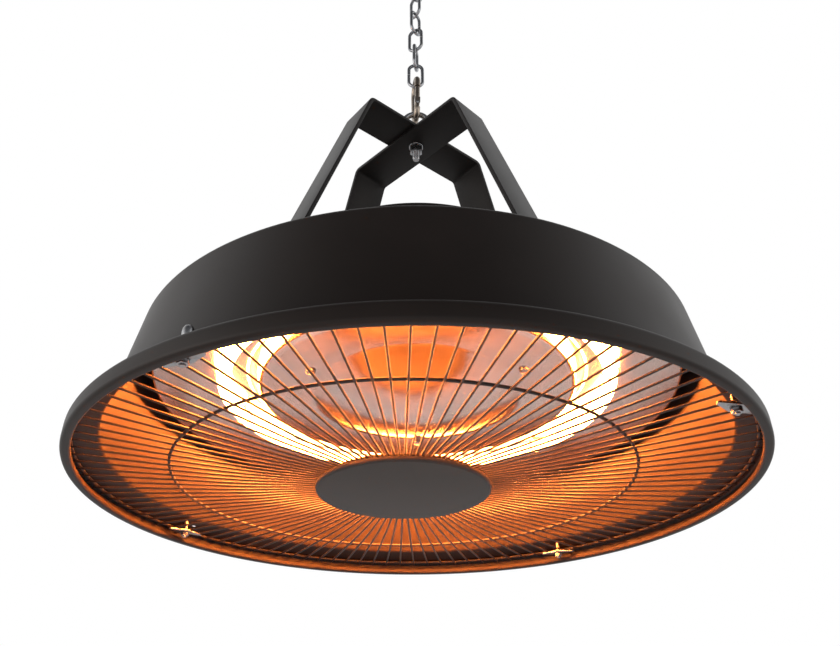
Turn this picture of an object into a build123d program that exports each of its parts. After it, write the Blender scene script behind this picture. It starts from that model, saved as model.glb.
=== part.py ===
from build123d import *
from math import asin, cos, radians, sin, sqrt, tan
import os

# Hanging patio heater, in millimetres. +Z is up and the origin is on the ceiling, over the chain.
# The camera of the photograph stood on the -Y side and below the rim.

os.makedirs("parts", exist_ok=True)

# Fits
hang_gap = 0.25
running_gap = 0.08
screw_gap = 0.25
seat_gap = 0.02

# Ceiling fitting
ceiling_plate_radius = 32
ceiling_plate_thickness = 4
ceiling_plate_chamfer = 1
ceiling_screw_circle_radius = 23
ceiling_screw_hole_radius = 2.75
ceiling_screw_count = 4
ceiling_screw_first_azimuth = 45
ceiling_eye_wire = 6
ceiling_eye_inner_radius = 11
ceiling_eye_neck_length = 3
ceiling_eye_shank_radius = 4
ceiling_eye_head_radius = 7

# Chain
link_count = 6
link_wire = 4
link_inner_length = 32.6
link_inner_width = 12.2
link_seam_width = 0.6
link_turn = -12.5

# Snap hook
hook_wire = 7
hook_inner_length = 52
hook_top_bend_radius = 13
hook_bottom_bend_radius = 9.5
hook_azimuth = 99
hook_nose_length = 5
hook_tang_height = 6
hook_tang_thickness = 3
gate_wire = 6
gate_end_gap = 0.4
gate_slot_gap = 0.3
gate_pin_radius = 1.3

# Eye bolt
eye_wire = 6.5
eye_inner_radius = 10.5
eye_neck_length = 7
eye_collar_radius = 9.5
eye_collar_thickness = 5
bolt_radius = 4
bolt_tail_length = 20
bolt_end_chamfer = 1
bolt_washer_radius = 8
bolt_washer_thickness = 1.6
bolt_nut_across_flats = 13
bolt_nut_thickness = 6.8

# Suspension bracket: two flat straps crossing at the bolt
strap_width = 43
strap_thickness = 4
strap_fold_inset_from_crown = 57.1
strap_splay = 18.5
strap_bend_radius = 5
strap_foot_length = 30
strap_lower_azimuth = -45.3
strap_upper_azimuth = 39.6
bracket_rise_from_deck = 211.88
foot_screw_radius = 3
foot_screw_head_radius = 5.5
foot_screw_head_height = 3.6
foot_nut_across_flats = 10
foot_nut_thickness = 5
foot_nut_gap = 0.08
foot_screw_tail = 3

# Shade: one spinning from the hem to the deck, heights above the rim plane
sheet = 1.0
rim_radius = 280
lip_height = 13.5
hem_width = 7.5
hem_upstand = 4.5
hem_bend_radius = 1.5
lip_bottom_bend_radius = 2.4
lip_top_bend_radius = 4
flange_width = 23.3
wall_bottom_height = 20.6
wall_lean = 10.2
shoulder_height = 111.6
flange_bend_radius = 3
shoulder_bend_radius = 5
roof_slope = 36
deck_radius = 135
deck_bend_radius = 6

# Crown on the deck
crown_inset = 1.9
crown_height = 18.7
crown_bend_radius = 2.5
crown_flange_width = 12
crown_rivet_count = 4
crown_rivet_radius = 2
crown_rivet_head_radius = 4
crown_rivet_head_height = 1.4

# Terminal box on the crown
cover_length = 72
cover_width = 43
cover_height = 12
cover_inset_from_crown = 4.1
cover_corner_radius = 4
cover_tab_length = 9
cover_tab_width = 14
cover_tab_inset = 17
cover_screw_radius = 2
cover_screw_head_radius = 3.8
cover_screw_head_height = 2.4
cover_screw_tail = 4
block_inset = 19
block_length = 24
block_width = 22
block_height = 9
block_corner_radius = 1
block_pole_depth = 3
block_pole_spacing = 11
gland_inset = 53
gland_thread_radius = 8
gland_thread_length = 6
gland_body_height = 6
gland_across_flats = 20
gland_dome_radius = 8.5
gland_dome_height = 14
gland_dome_edge_radius = 3.4
gland_bore_radius = 4
gland_locknut_thickness = 3.5
grommet_radius = 4
grommet_flange_radius = 5.2
grommet_flange_thickness = 1.2
lead_radius = 1.6
lead_bend_radius = 12
lead_rise = 22

# Reflector
reflector_gap_from_wall = 27.1
reflector_edge_height = 85.6
reflector_slope = 16
reflector_edge_return = 6
reflector_flat_radius = 130
bump_top_radius = 74
bump_bottom_radius = 50
bump_depth = 20
reflector_bend_radius = 6
standoff_circle_radius = 104
standoff_across_flats = 8
standoff_count = 3
standoff_first_azimuth = 90
standoff_bore = 8
standoff_screw_reach = 7
reflector_screw_radius = 2.5
reflector_screw_head_radius = 4.5
reflector_screw_head_height = 2.6

# Lamp: a quartz ring with a gap for its ends
lamp_inset_from_reflector = 58.6
lamp_drop_from_reflector = 9.76
lamp_tube_radius = 5.75
lamp_tube_wall = 1.2
lamp_filament_radius = 1.2
lamp_gap_middle_azimuth = -66
lamp_gap_angle = 26
lamp_cap_length = 22
lamp_cap_radius = 7.5
lamp_cap_overlap = 3
lamp_cap_socket_gap = 0.1
bush_radius = 4
bush_flange_radius = 6
bush_flange_thickness = 1.5
lamp_support_wire = 2
lamp_support_azimuths = (-15, 45, 105, 165, 225)
lamp_support_tail = 6
holder_thickness = 1.2
holder_width = 6
holder_end_gap = 0.5
holder_tail = 5
holder_slot_gap = 0.3

# Guard: spokes welded under three rings
spoke_count = 108
spoke_wire = 1.9
spoke_first_angle = 1.9
spoke_inner_radius = 68
spoke_bend_radius_from_hub = 130
spoke_tip_length = 1.5
hub_spoke_height = 7.0
rim_spoke_height = 10.8
guard_hub_offset = -12.0
guard_middle_offset = -10.9
guard_outer_offset = -1.8
guard_inner_ring_radius = 69
guard_middle_ring_radius = 192.3
guard_gap_from_rim = 6.8
guard_inner_ring_wire = 2.4
guard_middle_ring_wire = 2.6
guard_outer_ring_wire = 2.8
weld_depth = 0.45
spoke_sides = 6
ring_sides = 8

# Hub cap
hub_cap_radius = 74.1
hub_cap_face_height = 1.8
hub_cap_bend_radius = 2.5

# Retaining clips: a swivelling plate on a screw through the flange
clip_screw_inset = 9.2
clip_azimuths = (54.8, 150.8, -121.8, -35.1)
clip_turns = (16, -17, 4, -27)
clip_length = 35
clip_width = 13
clip_thickness = 1.5
clip_end_radius = 2.2
clip_screw_radius = 2
clip_head_radius = 4
clip_head_height = 2.6
clip_washer_radius = 4.5
clip_washer_thickness = 0.8
clip_nut_across_flats = 7
clip_nut_thickness = 3.2
clip_nut_gap = 0.1
clip_screw_tail = 1.5
flange_slot_length = 5
flange_slot_width = 3
flange_slot_offset = 3
flange_slot_turns = (1.9, -2.8, 1.9, 1.7)


def direction(azimuth):
    """Horizontal unit vector at an azimuth in degrees."""
    return Vector(cos(radians(azimuth)), sin(radians(azimuth)), 0)


def upright(azimuth, height=0.0):
    """Vertical plane through the axis: local X points along the azimuth, local Y is up."""
    ahead = direction(azimuth)
    return Plane(origin=(0, 0, height), x_dir=ahead, z_dir=ahead.cross(Vector(0, 0, 1)))


def save(part, name):
    """Labels a finished piece and writes its file."""
    part.label = name
    export_step(part, f"parts/{name}.step")


# Radii from the axis, from the rim inward
wall_bottom_radius = rim_radius - flange_width
guard_outer_ring_radius = rim_radius - guard_gap_from_rim
clip_screw_circle_radius = guard_outer_ring_radius - clip_screw_inset
flange_slot_circle_radius = clip_screw_circle_radius + flange_slot_offset
reflector_radius = wall_bottom_radius - reflector_gap_from_wall
lamp_circle_radius = reflector_radius - lamp_inset_from_reflector
crown_radius = deck_radius - crown_inset
strap_fold_radius = crown_radius - strap_fold_inset_from_crown
cover_end_radius = crown_radius - cover_inset_from_crown
cover_tab_radius = cover_end_radius - cover_tab_inset
block_radius = cover_end_radius - block_inset
gland_radius = cover_end_radius - gland_inset

# Heights above the rim that other pieces stand on
shoulder_radius = wall_bottom_radius - (shoulder_height - wall_bottom_height) * tan(radians(wall_lean))
roof_rise = tan(radians(roof_slope))
roof_axis_height = shoulder_height + shoulder_radius * roof_rise
deck_height = roof_axis_height - deck_radius * roof_rise
deck_top = deck_height + sheet / 2
crown_top = deck_top + crown_height
bracket_height = deck_height + bracket_rise_from_deck

# Heights, from the ceiling down
ceiling_eye_radius = ceiling_eye_inner_radius + ceiling_eye_wire / 2
ceiling_eye_outer_radius = ceiling_eye_inner_radius + ceiling_eye_wire
ceiling_eye_z = -ceiling_plate_thickness - ceiling_eye_neck_length - ceiling_eye_outer_radius
link_pitch = link_inner_length - hang_gap
first_bearing_z = ceiling_eye_z - ceiling_eye_inner_radius + hang_gap
link_centres = [first_bearing_z - link_inner_length / 2 - k * link_pitch for k in range(link_count)]
link_azimuths = [(link_count - 1 - k) * (90 + link_turn) for k in range(link_count)]
ceiling_eye_azimuth = link_count * (90 + link_turn)
hook_top_z = link_centres[-1] - link_inner_length / 2 + hang_gap
hook_bottom_z = hook_top_z - hook_inner_length
eye_radius = eye_inner_radius + eye_wire / 2
eye_z = hook_bottom_z + hang_gap - eye_inner_radius
strap_top_z = eye_z - eye_inner_radius - eye_wire - eye_neck_length - eye_collar_thickness
strap_under_z = strap_top_z - 2 * strap_thickness
rim_z = strap_under_z - bracket_height
rim_plane = Plane(origin=(0, 0, rim_z), x_dir=(1, 0, 0), z_dir=(0, -1, 0))


# Ceiling plate: a turned disc with screw holes and a countersunk middle
with BuildPart() as ceiling_plate:
    with BuildSketch():
        Circle(ceiling_plate_radius)
    extrude(amount=-ceiling_plate_thickness)
    chamfer(ceiling_plate.edges().filter_by(GeomType.CIRCLE).sort_by(Axis.Z)[0], ceiling_plate_chamfer)
    with BuildSketch():
        with PolarLocations(
            ceiling_screw_circle_radius, ceiling_screw_count, start_angle=ceiling_screw_first_azimuth
        ):
            Circle(ceiling_screw_hole_radius)
    extrude(amount=-ceiling_plate_thickness, mode=Mode.SUBTRACT)
    with Locations(Plane.XY):
        CounterSinkHole(ceiling_eye_shank_radius, ceiling_eye_head_radius, counter_sink_angle=90)
save(ceiling_plate.part, "ceiling_plate")

# Ceiling eye: a closed ring on a shank whose countersunk head is riveted into the plate
head_depth = ceiling_eye_head_radius - ceiling_eye_shank_radius
with BuildPart() as ceiling_eye:
    with BuildSketch(Plane(origin=(0, 0, ceiling_eye_z), x_dir=direction(ceiling_eye_azimuth))):
        with Locations((ceiling_eye_radius, 0)):
            Circle(ceiling_eye_wire / 2)
    revolve(axis=Axis((0, 0, ceiling_eye_z), tuple(direction(ceiling_eye_azimuth - 90))))
    with BuildSketch(Plane.XZ):
        with BuildLine():
            Polyline(
                (0, -seat_gap),
                (ceiling_eye_head_radius - 2 * seat_gap, -seat_gap),
                (ceiling_eye_shank_radius, seat_gap - head_depth),
                (ceiling_eye_shank_radius, ceiling_eye_z + ceiling_eye_radius),
                (0, ceiling_eye_z + ceiling_eye_radius),
                close=True,
            )
        make_face()
    revolve(axis=Axis.Z)
save(ceiling_eye.part, "ceiling_eye")


# Chain: bent wire links, each with its unwelded seam in the middle of one side
def chain_link(centre_z, azimuth):
    """An open racetrack of wire hanging in the upright plane at an azimuth."""
    plane = upright(azimuth, centre_z)
    side = (link_inner_width + link_wire) / 2
    bend_centre = (link_inner_length + link_wire) / 2 - side
    with BuildPart() as link:
        with BuildLine(plane) as route:
            Line((-side, -link_seam_width / 2), (-side, -bend_centre))
            ThreePointArc((-side, -bend_centre), (0, -bend_centre - side), (side, -bend_centre))
            Line((side, -bend_centre), (side, bend_centre))
            ThreePointArc((side, bend_centre), (0, bend_centre + side), (-side, bend_centre))
            Line((-side, bend_centre), (-side, link_seam_width / 2))
        with BuildSketch(Plane(origin=route.line @ 0, z_dir=route.line % 0)):
            Circle(link_wire / 2)
        sweep(path=route.line)
    return link.part


for number, (centre_z, azimuth) in enumerate(zip(link_centres, link_azimuths), start=1):
    save(chain_link(centre_z, azimuth), f"chain_link_{number}")

# Snap hook: wire bent to a pear, open on the near side, with a flat tang for the gate
hook_plane = upright(hook_azimuth)
hook_top_centre = hook_top_z + hook_wire / 2 - hook_top_bend_radius
hook_bottom_centre = hook_bottom_z - hook_wire / 2 + hook_bottom_bend_radius
hook_lean = asin((hook_bottom_bend_radius - hook_top_bend_radius) / (hook_top_centre - hook_bottom_centre))
spine_top = (hook_top_bend_radius * cos(hook_lean), hook_top_centre + hook_top_bend_radius * sin(hook_lean))
spine_bottom = (
    hook_bottom_bend_radius * cos(hook_lean),
    hook_bottom_centre + hook_bottom_bend_radius * sin(hook_lean),
)
gate_top = (-spine_top[0], spine_top[1])
gate_bottom = (-spine_bottom[0], spine_bottom[1])
gate_line = (Vector(gate_top) - Vector(gate_bottom)).normalized()


def along_gate(start, length):
    """A point of the hook's plane, up the gate's line from another."""
    return (start[0] + gate_line.X * length, start[1] + gate_line.Y * length)


nose_end = along_gate(gate_top, -hook_nose_length)
pivot = along_gate(gate_bottom, hook_tang_height)
with BuildPart() as snap_hook_body:
    with BuildLine(hook_plane) as route:
        ThreePointArc(gate_bottom, (0, hook_bottom_centre - hook_bottom_bend_radius), spine_bottom)
        Line(spine_bottom, spine_top)
        ThreePointArc(spine_top, (0, hook_top_centre + hook_top_bend_radius), gate_top)
        Line(gate_top, nose_end)
    with BuildSketch(Plane(origin=route.line @ 0, z_dir=route.line % 0)):
        Circle(hook_wire / 2)
    sweep(path=route.line)
    with BuildSketch(hook_plane):
        with BuildLine():
            Line(gate_bottom, pivot)
        trace(line_width=hook_wire)
        with Locations(pivot):
            Circle(hook_wire / 2)
            Circle(gate_pin_radius + running_gap, mode=Mode.SUBTRACT)
    extrude(amount=hook_tang_thickness / 2, both=True)
save(snap_hook_body.part, "snap_hook_body")

# Gate: a rod with a fork that straddles the tang
fork_half_slot = hook_tang_thickness / 2 + gate_slot_gap
rod_start = along_gate(pivot, hook_wire)
with BuildPart() as snap_hook_gate:
    with BuildSketch(hook_plane):
        with BuildLine():
            Line(pivot, rod_start)
        trace(line_width=gate_wire)
        with Locations(pivot):
            Circle(gate_wire / 2)
    extrude(amount=hook_wire / 2, both=True)
    with BuildSketch(hook_plane):
        with Locations(pivot):
            Circle(hook_wire / 2 + gate_slot_gap)
    extrude(amount=fork_half_slot, both=True, mode=Mode.SUBTRACT)
    with BuildLine(hook_plane) as rod:
        Line(along_gate(rod_start, -gate_wire / 4), along_gate(nose_end, -gate_end_gap))
    with BuildSketch(Plane(origin=rod.line @ 0, z_dir=rod.line % 0)):
        Circle(gate_wire / 2)
    sweep(path=rod.line)
    with BuildSketch(hook_plane):
        with Locations(pivot):
            Circle(gate_pin_radius)
    extrude(amount=hook_wire, both=True, mode=Mode.SUBTRACT)
save(snap_hook_gate.part, "snap_hook_gate")

with BuildPart() as gate_pin:
    with BuildSketch(hook_plane):
        with Locations(pivot):
            Circle(gate_pin_radius)
    extrude(amount=hook_wire / 2, both=True)
save(gate_pin.part, "gate_pin")

# Eye bolt through both straps
bolt_end_z = strap_under_z - bolt_tail_length
with BuildPart() as eye_bolt:
    with BuildSketch(Plane.XY.offset(eye_z)):
        with Locations((eye_radius, 0)):
            Circle(eye_wire / 2)
    revolve(axis=Axis((0, 0, eye_z), (0, 1, 0)))
    with BuildSketch(Plane.XZ):
        with BuildLine():
            Polyline(
                (0, eye_z - eye_radius),
                (bolt_radius, eye_z - eye_radius),
                (bolt_radius, strap_top_z + eye_collar_thickness),
                (eye_collar_radius, strap_top_z + eye_collar_thickness),
                (eye_collar_radius, strap_top_z),
                (bolt_radius, strap_top_z),
                (bolt_radius, bolt_end_z + bolt_end_chamfer),
                (bolt_radius - bolt_end_chamfer, bolt_end_z),
                (0, bolt_end_z),
                close=True,
            )
        make_face()
    revolve(axis=Axis.Z)
save(eye_bolt.part, "eye_bolt")

with BuildPart() as bolt_washer:
    with BuildSketch(Plane.XY.offset(strap_under_z)):
        Circle(bolt_washer_radius)
        Circle(bolt_radius + screw_gap, mode=Mode.SUBTRACT)
    extrude(amount=-bolt_washer_thickness)
save(bolt_washer.part, "bolt_washer")

with BuildPart() as bolt_nut:
    with BuildSketch(Plane.XY.offset(strap_under_z - bolt_washer_thickness)):
        RegularPolygon(bolt_nut_across_flats / 2, 6, major_radius=False)
        Circle(bolt_radius, mode=Mode.SUBTRACT)
    extrude(amount=-bolt_nut_thickness)
save(bolt_nut.part, "bolt_nut")


# Straps: flat steel bent down into splayed legs, whose feet lie on the roof
def strap(azimuth, under_height):
    """A strap whose flat middle has its underside at a height above the rim plane."""
    middle = under_height + strap_thickness / 2
    splay = tan(radians(strap_splay))
    foot_axis_height = roof_axis_height + (sheet + strap_thickness) / 2 / cos(radians(roof_slope))
    knee_radius = strap_fold_radius + (middle - foot_axis_height) * splay
    knee_radius = knee_radius / (1 - roof_rise * splay)
    knee = Vector(knee_radius, foot_axis_height - knee_radius * roof_rise)
    down_roof = Vector(cos(radians(roof_slope)), -sin(radians(roof_slope)))
    toe = knee + down_roof * strap_foot_length
    screw = knee + down_roof * (strap_foot_length / 2)
    plane = upright(azimuth, rim_z)
    with BuildPart() as bent:
        with BuildSketch(plane):
            with BuildLine():
                FilletPolyline(
                    (-toe.X, toe.Y),
                    (-knee.X, knee.Y),
                    (-strap_fold_radius, middle),
                    (strap_fold_radius, middle),
                    (knee.X, knee.Y),
                    (toe.X, toe.Y),
                    radius=strap_bend_radius,
                )
            trace(line_width=strap_thickness)
        extrude(amount=strap_width / 2, both=True)
        with BuildSketch(Plane.XY.offset(rim_z + middle)):
            Circle(bolt_radius + screw_gap)
        extrude(amount=strap_thickness, both=True, mode=Mode.SUBTRACT)
        for seat in foot_seats(azimuth, screw):
            with BuildSketch(seat):
                Circle(foot_screw_radius + screw_gap)
            extrude(amount=strap_thickness, both=True, mode=Mode.SUBTRACT)
    return bent.part, screw


def foot_seats(azimuth, screw):
    """Planes on the middle of both feet, square to the roof, for a screw at (radius, height)."""
    seats = []
    for side in (azimuth, azimuth + 180):
        ahead = direction(side)
        normal = ahead * sin(radians(roof_slope)) + Vector(0, 0, cos(radians(roof_slope)))
        seats.append(Plane(origin=ahead * screw.X + Vector(0, 0, rim_z + screw.Y), z_dir=normal))
    return seats


lower_part, lower_screw = strap(strap_lower_azimuth, bracket_height)
upper_part, upper_screw = strap(strap_upper_azimuth, bracket_height + strap_thickness)
save(lower_part, "strap_lower")
save(upper_part, "strap_upper")
seats = foot_seats(strap_lower_azimuth, lower_screw) + foot_seats(strap_upper_azimuth, upper_screw)

# Foot screws and nuts, one pair through each foot and the roof
nut_seat = -strap_thickness / 2 - sheet - foot_nut_gap
with BuildPart() as foot_screws:
    for seat in seats:
        with BuildSketch(seat.offset(strap_thickness / 2)):
            Circle(foot_screw_head_radius)
        extrude(amount=foot_screw_head_height)
        with BuildSketch(seat.offset(strap_thickness / 2)):
            Circle(foot_screw_radius)
        extrude(amount=nut_seat - foot_nut_thickness - foot_screw_tail - strap_thickness / 2)
save(foot_screws.part, "foot_screws")

with BuildPart() as foot_nuts:
    for seat in seats:
        with BuildSketch(seat.offset(nut_seat)):
            RegularPolygon(foot_nut_across_flats / 2, 6, major_radius=False)
            Circle(foot_screw_radius, mode=Mode.SUBTRACT)
        extrude(amount=-foot_nut_thickness)
save(foot_nuts.part, "foot_nuts")

# Places of the clip screws, standoffs, rivets, poles and lamp ends, seen from above
clip_places = [direction(azimuth) * clip_screw_circle_radius for azimuth in clip_azimuths]
standoff_places = PolarLocations(standoff_circle_radius, standoff_count, start_angle=standoff_first_azimuth)
rivet_circle_radius = crown_radius - sheet - crown_flange_width / 2
rivet_places = PolarLocations(rivet_circle_radius, crown_rivet_count)
cover_ahead = direction(strap_lower_azimuth)
cover_aside = direction(strap_lower_azimuth + 90)
cover_plane = Plane(origin=(0, 0, rim_z + crown_top), x_dir=cover_ahead, z_dir=(0, 0, 1))
pole_places = [
    cover_ahead * block_radius + cover_aside * side * block_pole_spacing / 2
    for side in (-1, 1)
]
lamp_start_azimuth = lamp_gap_middle_azimuth + lamp_gap_angle / 2
lamp_ends = [
    (direction(azimuth) * lamp_circle_radius, direction(azimuth - side * 90))
    for azimuth, side in ((lamp_start_azimuth - lamp_gap_angle, -1), (lamp_start_azimuth, 1))
]
holder_reach = holder_end_gap + holder_width / 2
bush_reach = holder_end_gap + holder_width + holder_end_gap + bush_flange_radius
holder_places = [(end + inward * holder_reach, inward) for end, inward in lamp_ends]
bush_places = [end + inward * bush_reach for end, inward in lamp_ends]


def spots(places, height):
    """Horizontal planes at places seen from above, at a height above the rim plane."""
    return [Plane(origin=place + Vector(0, 0, rim_z + height)) for place in places]


# Shade: the sheet's middle line from the hem's edge to the axis, spun round
hem_edge = rim_radius - hem_width
with BuildPart() as shade:
    with BuildSketch(rim_plane):
        with BuildLine():
            FilletPolyline(
                (hem_edge + sheet / 2, hem_upstand),
                (hem_edge + sheet / 2, sheet / 2),
                (rim_radius - sheet / 2, sheet / 2),
                (rim_radius - sheet / 2, lip_height),
                (wall_bottom_radius, wall_bottom_height),
                (shoulder_radius, shoulder_height),
                (deck_radius, deck_height),
                (0, deck_height),
                radius=[
                    hem_bend_radius,
                    lip_bottom_bend_radius,
                    lip_top_bend_radius,
                    flange_bend_radius,
                    shoulder_bend_radius,
                    deck_bend_radius,
                ],
            )
        trace(line_width=sheet)
    revolve(axis=Axis.Z)
    with BuildSketch(*spots(clip_places, 0)):
        Circle(clip_screw_radius + screw_gap)
    extrude(amount=wall_bottom_height + sheet, mode=Mode.SUBTRACT)
    for azimuth, turn in zip(clip_azimuths, flange_slot_turns):
        ahead = direction(azimuth + turn)
        slot_middle = ahead * flange_slot_circle_radius + Vector(0, 0, rim_z + hem_upstand)
        with BuildSketch(Plane(origin=slot_middle, x_dir=direction(azimuth + turn + 90), z_dir=(0, 0, 1))):
            SlotOverall(flange_slot_length, flange_slot_width)
        extrude(amount=wall_bottom_height, mode=Mode.SUBTRACT)
    for seat in seats:
        with BuildSketch(seat):
            Circle(foot_screw_radius + screw_gap)
        extrude(amount=-strap_thickness - sheet, mode=Mode.SUBTRACT)
    with BuildSketch(Plane.XY.offset(rim_z + deck_height)):
        with standoff_places:
            Circle(reflector_screw_radius + screw_gap)
        with rivet_places:
            Circle(crown_rivet_radius)
        with Locations(*pole_places):
            Circle(grommet_radius)
    extrude(amount=sheet, both=True, mode=Mode.SUBTRACT)
save(shade.part, "shade")

# Crown: a spun cap whose edge turns inward and is riveted to the deck
crown_wall = crown_radius - sheet / 2
with BuildPart() as crown:
    with BuildSketch(rim_plane):
        with BuildLine():
            FilletPolyline(
                (0, crown_top - sheet / 2),
                (crown_wall, crown_top - sheet / 2),
                (crown_wall, deck_top + sheet / 2),
                (crown_wall - crown_flange_width, deck_top + sheet / 2),
                radius=[crown_bend_radius, hem_bend_radius],
            )
        trace(line_width=sheet)
    revolve(axis=Axis.Z)
    with BuildSketch(Plane.XY.offset(rim_z + deck_top + sheet / 2)):
        with rivet_places:
            Circle(crown_rivet_radius)
    extrude(amount=sheet, both=True, mode=Mode.SUBTRACT)
    with BuildSketch(cover_plane):
        with Locations((block_radius, 0)):
            with GridLocations(0, block_pole_spacing, 1, 2):
                Circle(lead_radius + screw_gap)
        with Locations((cover_tab_radius, 0)):
            with GridLocations(0, cover_width + cover_tab_length, 1, 2):
                Circle(cover_screw_radius)
    extrude(amount=-2 * sheet, mode=Mode.SUBTRACT)
save(crown.part, "crown")

with BuildPart() as crown_rivets:
    with BuildSketch(Plane.XY.offset(rim_z + deck_top + sheet)):
        with rivet_places:
            Circle(crown_rivet_head_radius)
    extrude(amount=crown_rivet_head_height)
    with BuildSketch(Plane.XY.offset(rim_z + deck_top + sheet)):
        with rivet_places:
            Circle(crown_rivet_radius)
    extrude(amount=-2 * sheet)
    with BuildSketch(Plane.XY.offset(rim_z + deck_top - sheet)):
        with rivet_places:
            Circle(crown_rivet_head_radius - sheet)
    extrude(amount=-crown_rivet_head_height)
save(crown_rivets.part, "crown_rivets")

# Terminal cover: a low folded box on the crown with a tab on each long side
cover_middle = cover_end_radius - cover_length / 2
with BuildPart() as terminal_cover:
    with BuildSketch(cover_plane):
        with Locations((cover_middle, 0)):
            RectangleRounded(cover_length, cover_width, cover_corner_radius)
    extrude(amount=cover_height)
    fillet(terminal_cover.faces().sort_by(Axis.Z)[-1].edges(), sheet)
    with BuildSketch(cover_plane):
        with Locations((cover_tab_radius, 0)):
            Rectangle(cover_tab_width, cover_width + 2 * cover_tab_length)
    extrude(amount=sheet)
    with BuildSketch(cover_plane):
        with Locations((cover_middle, 0)):
            inner_length = cover_length - 2 * sheet
            inner_width = cover_width - 2 * sheet
            RectangleRounded(inner_length, inner_width, cover_corner_radius - sheet)
    extrude(amount=cover_height - sheet, mode=Mode.SUBTRACT)
    with BuildSketch(cover_plane):
        with Locations((cover_tab_radius, 0)):
            with GridLocations(0, cover_width + cover_tab_length, 1, 2):
                Circle(cover_screw_radius + screw_gap)
    extrude(amount=2 * sheet, mode=Mode.SUBTRACT)
    with BuildSketch(cover_plane.offset(cover_height)):
        with Locations((gland_radius, 0)):
            Circle(gland_thread_radius + screw_gap)
    extrude(amount=-2 * sheet, mode=Mode.SUBTRACT)
save(terminal_cover.part, "terminal_cover")

with BuildPart() as cover_screws:
    with BuildSketch(cover_plane.offset(sheet)):
        with Locations((cover_tab_radius, 0)):
            with GridLocations(0, cover_width + cover_tab_length, 1, 2):
                Circle(cover_screw_head_radius)
    extrude(amount=cover_screw_head_height)
    with BuildSketch(cover_plane.offset(sheet)):
        with Locations((cover_tab_radius, 0)):
            with GridLocations(0, cover_width + cover_tab_length, 1, 2):
                Circle(cover_screw_radius)
    extrude(amount=-2 * sheet - cover_screw_tail)
save(cover_screws.part, "cover_screws")

with BuildPart() as terminal_block:
    with BuildSketch(cover_plane):
        with Locations((block_radius, 0)):
            RectangleRounded(block_length, block_width, block_corner_radius)
    extrude(amount=block_height)
    with BuildSketch(cover_plane.offset(block_height)):
        with Locations((block_radius, 0)):
            with GridLocations(block_length / 2, block_pole_spacing, 2, 2):
                Circle(cover_screw_radius)
    extrude(amount=-block_pole_depth, mode=Mode.SUBTRACT)
save(terminal_block.part, "terminal_block")

# Cable gland on top of the cover, with its locknut inside
gland_plane = Plane(
    origin=cover_ahead * gland_radius + Vector(0, 0, rim_z + crown_top + cover_height)
)
with BuildPart() as cable_gland:
    with BuildSketch(gland_plane):
        RegularPolygon(gland_across_flats / 2, 6, major_radius=False)
    extrude(amount=gland_body_height)
    with BuildSketch(gland_plane.offset(gland_body_height)):
        Circle(gland_dome_radius)
    extrude(amount=gland_dome_height)
    fillet(cable_gland.edges().filter_by(GeomType.CIRCLE).sort_by(Axis.Z)[-1], gland_dome_edge_radius)
    with BuildSketch(gland_plane):
        Circle(gland_thread_radius)
    extrude(amount=-gland_thread_length)
    with BuildSketch(gland_plane.offset(-gland_thread_length)):
        Circle(gland_bore_radius)
    extrude(
        amount=gland_thread_length + gland_body_height + gland_dome_height, mode=Mode.SUBTRACT
    )
save(cable_gland.part, "cable_gland")

with BuildPart() as gland_locknut:
    with BuildSketch(gland_plane.offset(-sheet - seat_gap)):
        RegularPolygon(gland_across_flats / 2, 6, major_radius=False)
        Circle(gland_thread_radius, mode=Mode.SUBTRACT)
    extrude(amount=-gland_locknut_thickness)
save(gland_locknut.part, "gland_locknut")

# Reflector: spun bright sheet with a polished bump pressed down in its middle
reflector_rise = tan(radians(reflector_slope))
reflector_wall = reflector_radius - sheet / 2


def reflector_line(radius):
    """Height of the brim's middle line above the rim plane."""
    return reflector_edge_height + sheet / 2 + (reflector_wall - radius) * reflector_rise


reflector_flat = reflector_line(reflector_flat_radius)
lamp_height = reflector_line(lamp_circle_radius) - lamp_drop_from_reflector
support_places = [direction(azimuth) * lamp_circle_radius for azimuth in lamp_support_azimuths]
with BuildPart() as reflector:
    with BuildSketch(rim_plane):
        with BuildLine():
            FilletPolyline(
                (0, reflector_flat - bump_depth),
                (bump_bottom_radius, reflector_flat - bump_depth),
                (bump_top_radius, reflector_flat),
                (reflector_flat_radius, reflector_flat),
                (reflector_wall, reflector_edge_height + sheet / 2),
                (reflector_wall, reflector_edge_height + reflector_edge_return),
                radius=[
                    reflector_bend_radius,
                    reflector_bend_radius,
                    reflector_bend_radius,
                    hem_bend_radius,
                ],
            )
        trace(line_width=sheet)
    revolve(axis=Axis.Z)
    with BuildSketch(Plane.XY.offset(rim_z + reflector_edge_height)):
        with standoff_places:
            Circle(reflector_screw_radius + screw_gap)
        with Locations(*bush_places):
            Circle(bush_radius)
        with Locations(*support_places):
            Circle(lamp_support_wire / 2 + screw_gap)
    extrude(amount=reflector_flat, mode=Mode.SUBTRACT)
    for place, along in holder_places:
        middle = place + Vector(0, 0, rim_z + reflector_edge_height)
        with BuildSketch(Plane(origin=middle, x_dir=along, z_dir=(0, 0, 1))):
            Rectangle(holder_width + 2 * holder_slot_gap, holder_thickness + 2 * holder_slot_gap)
        extrude(amount=reflector_flat, mode=Mode.SUBTRACT)
save(reflector.part, "reflector")

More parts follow.
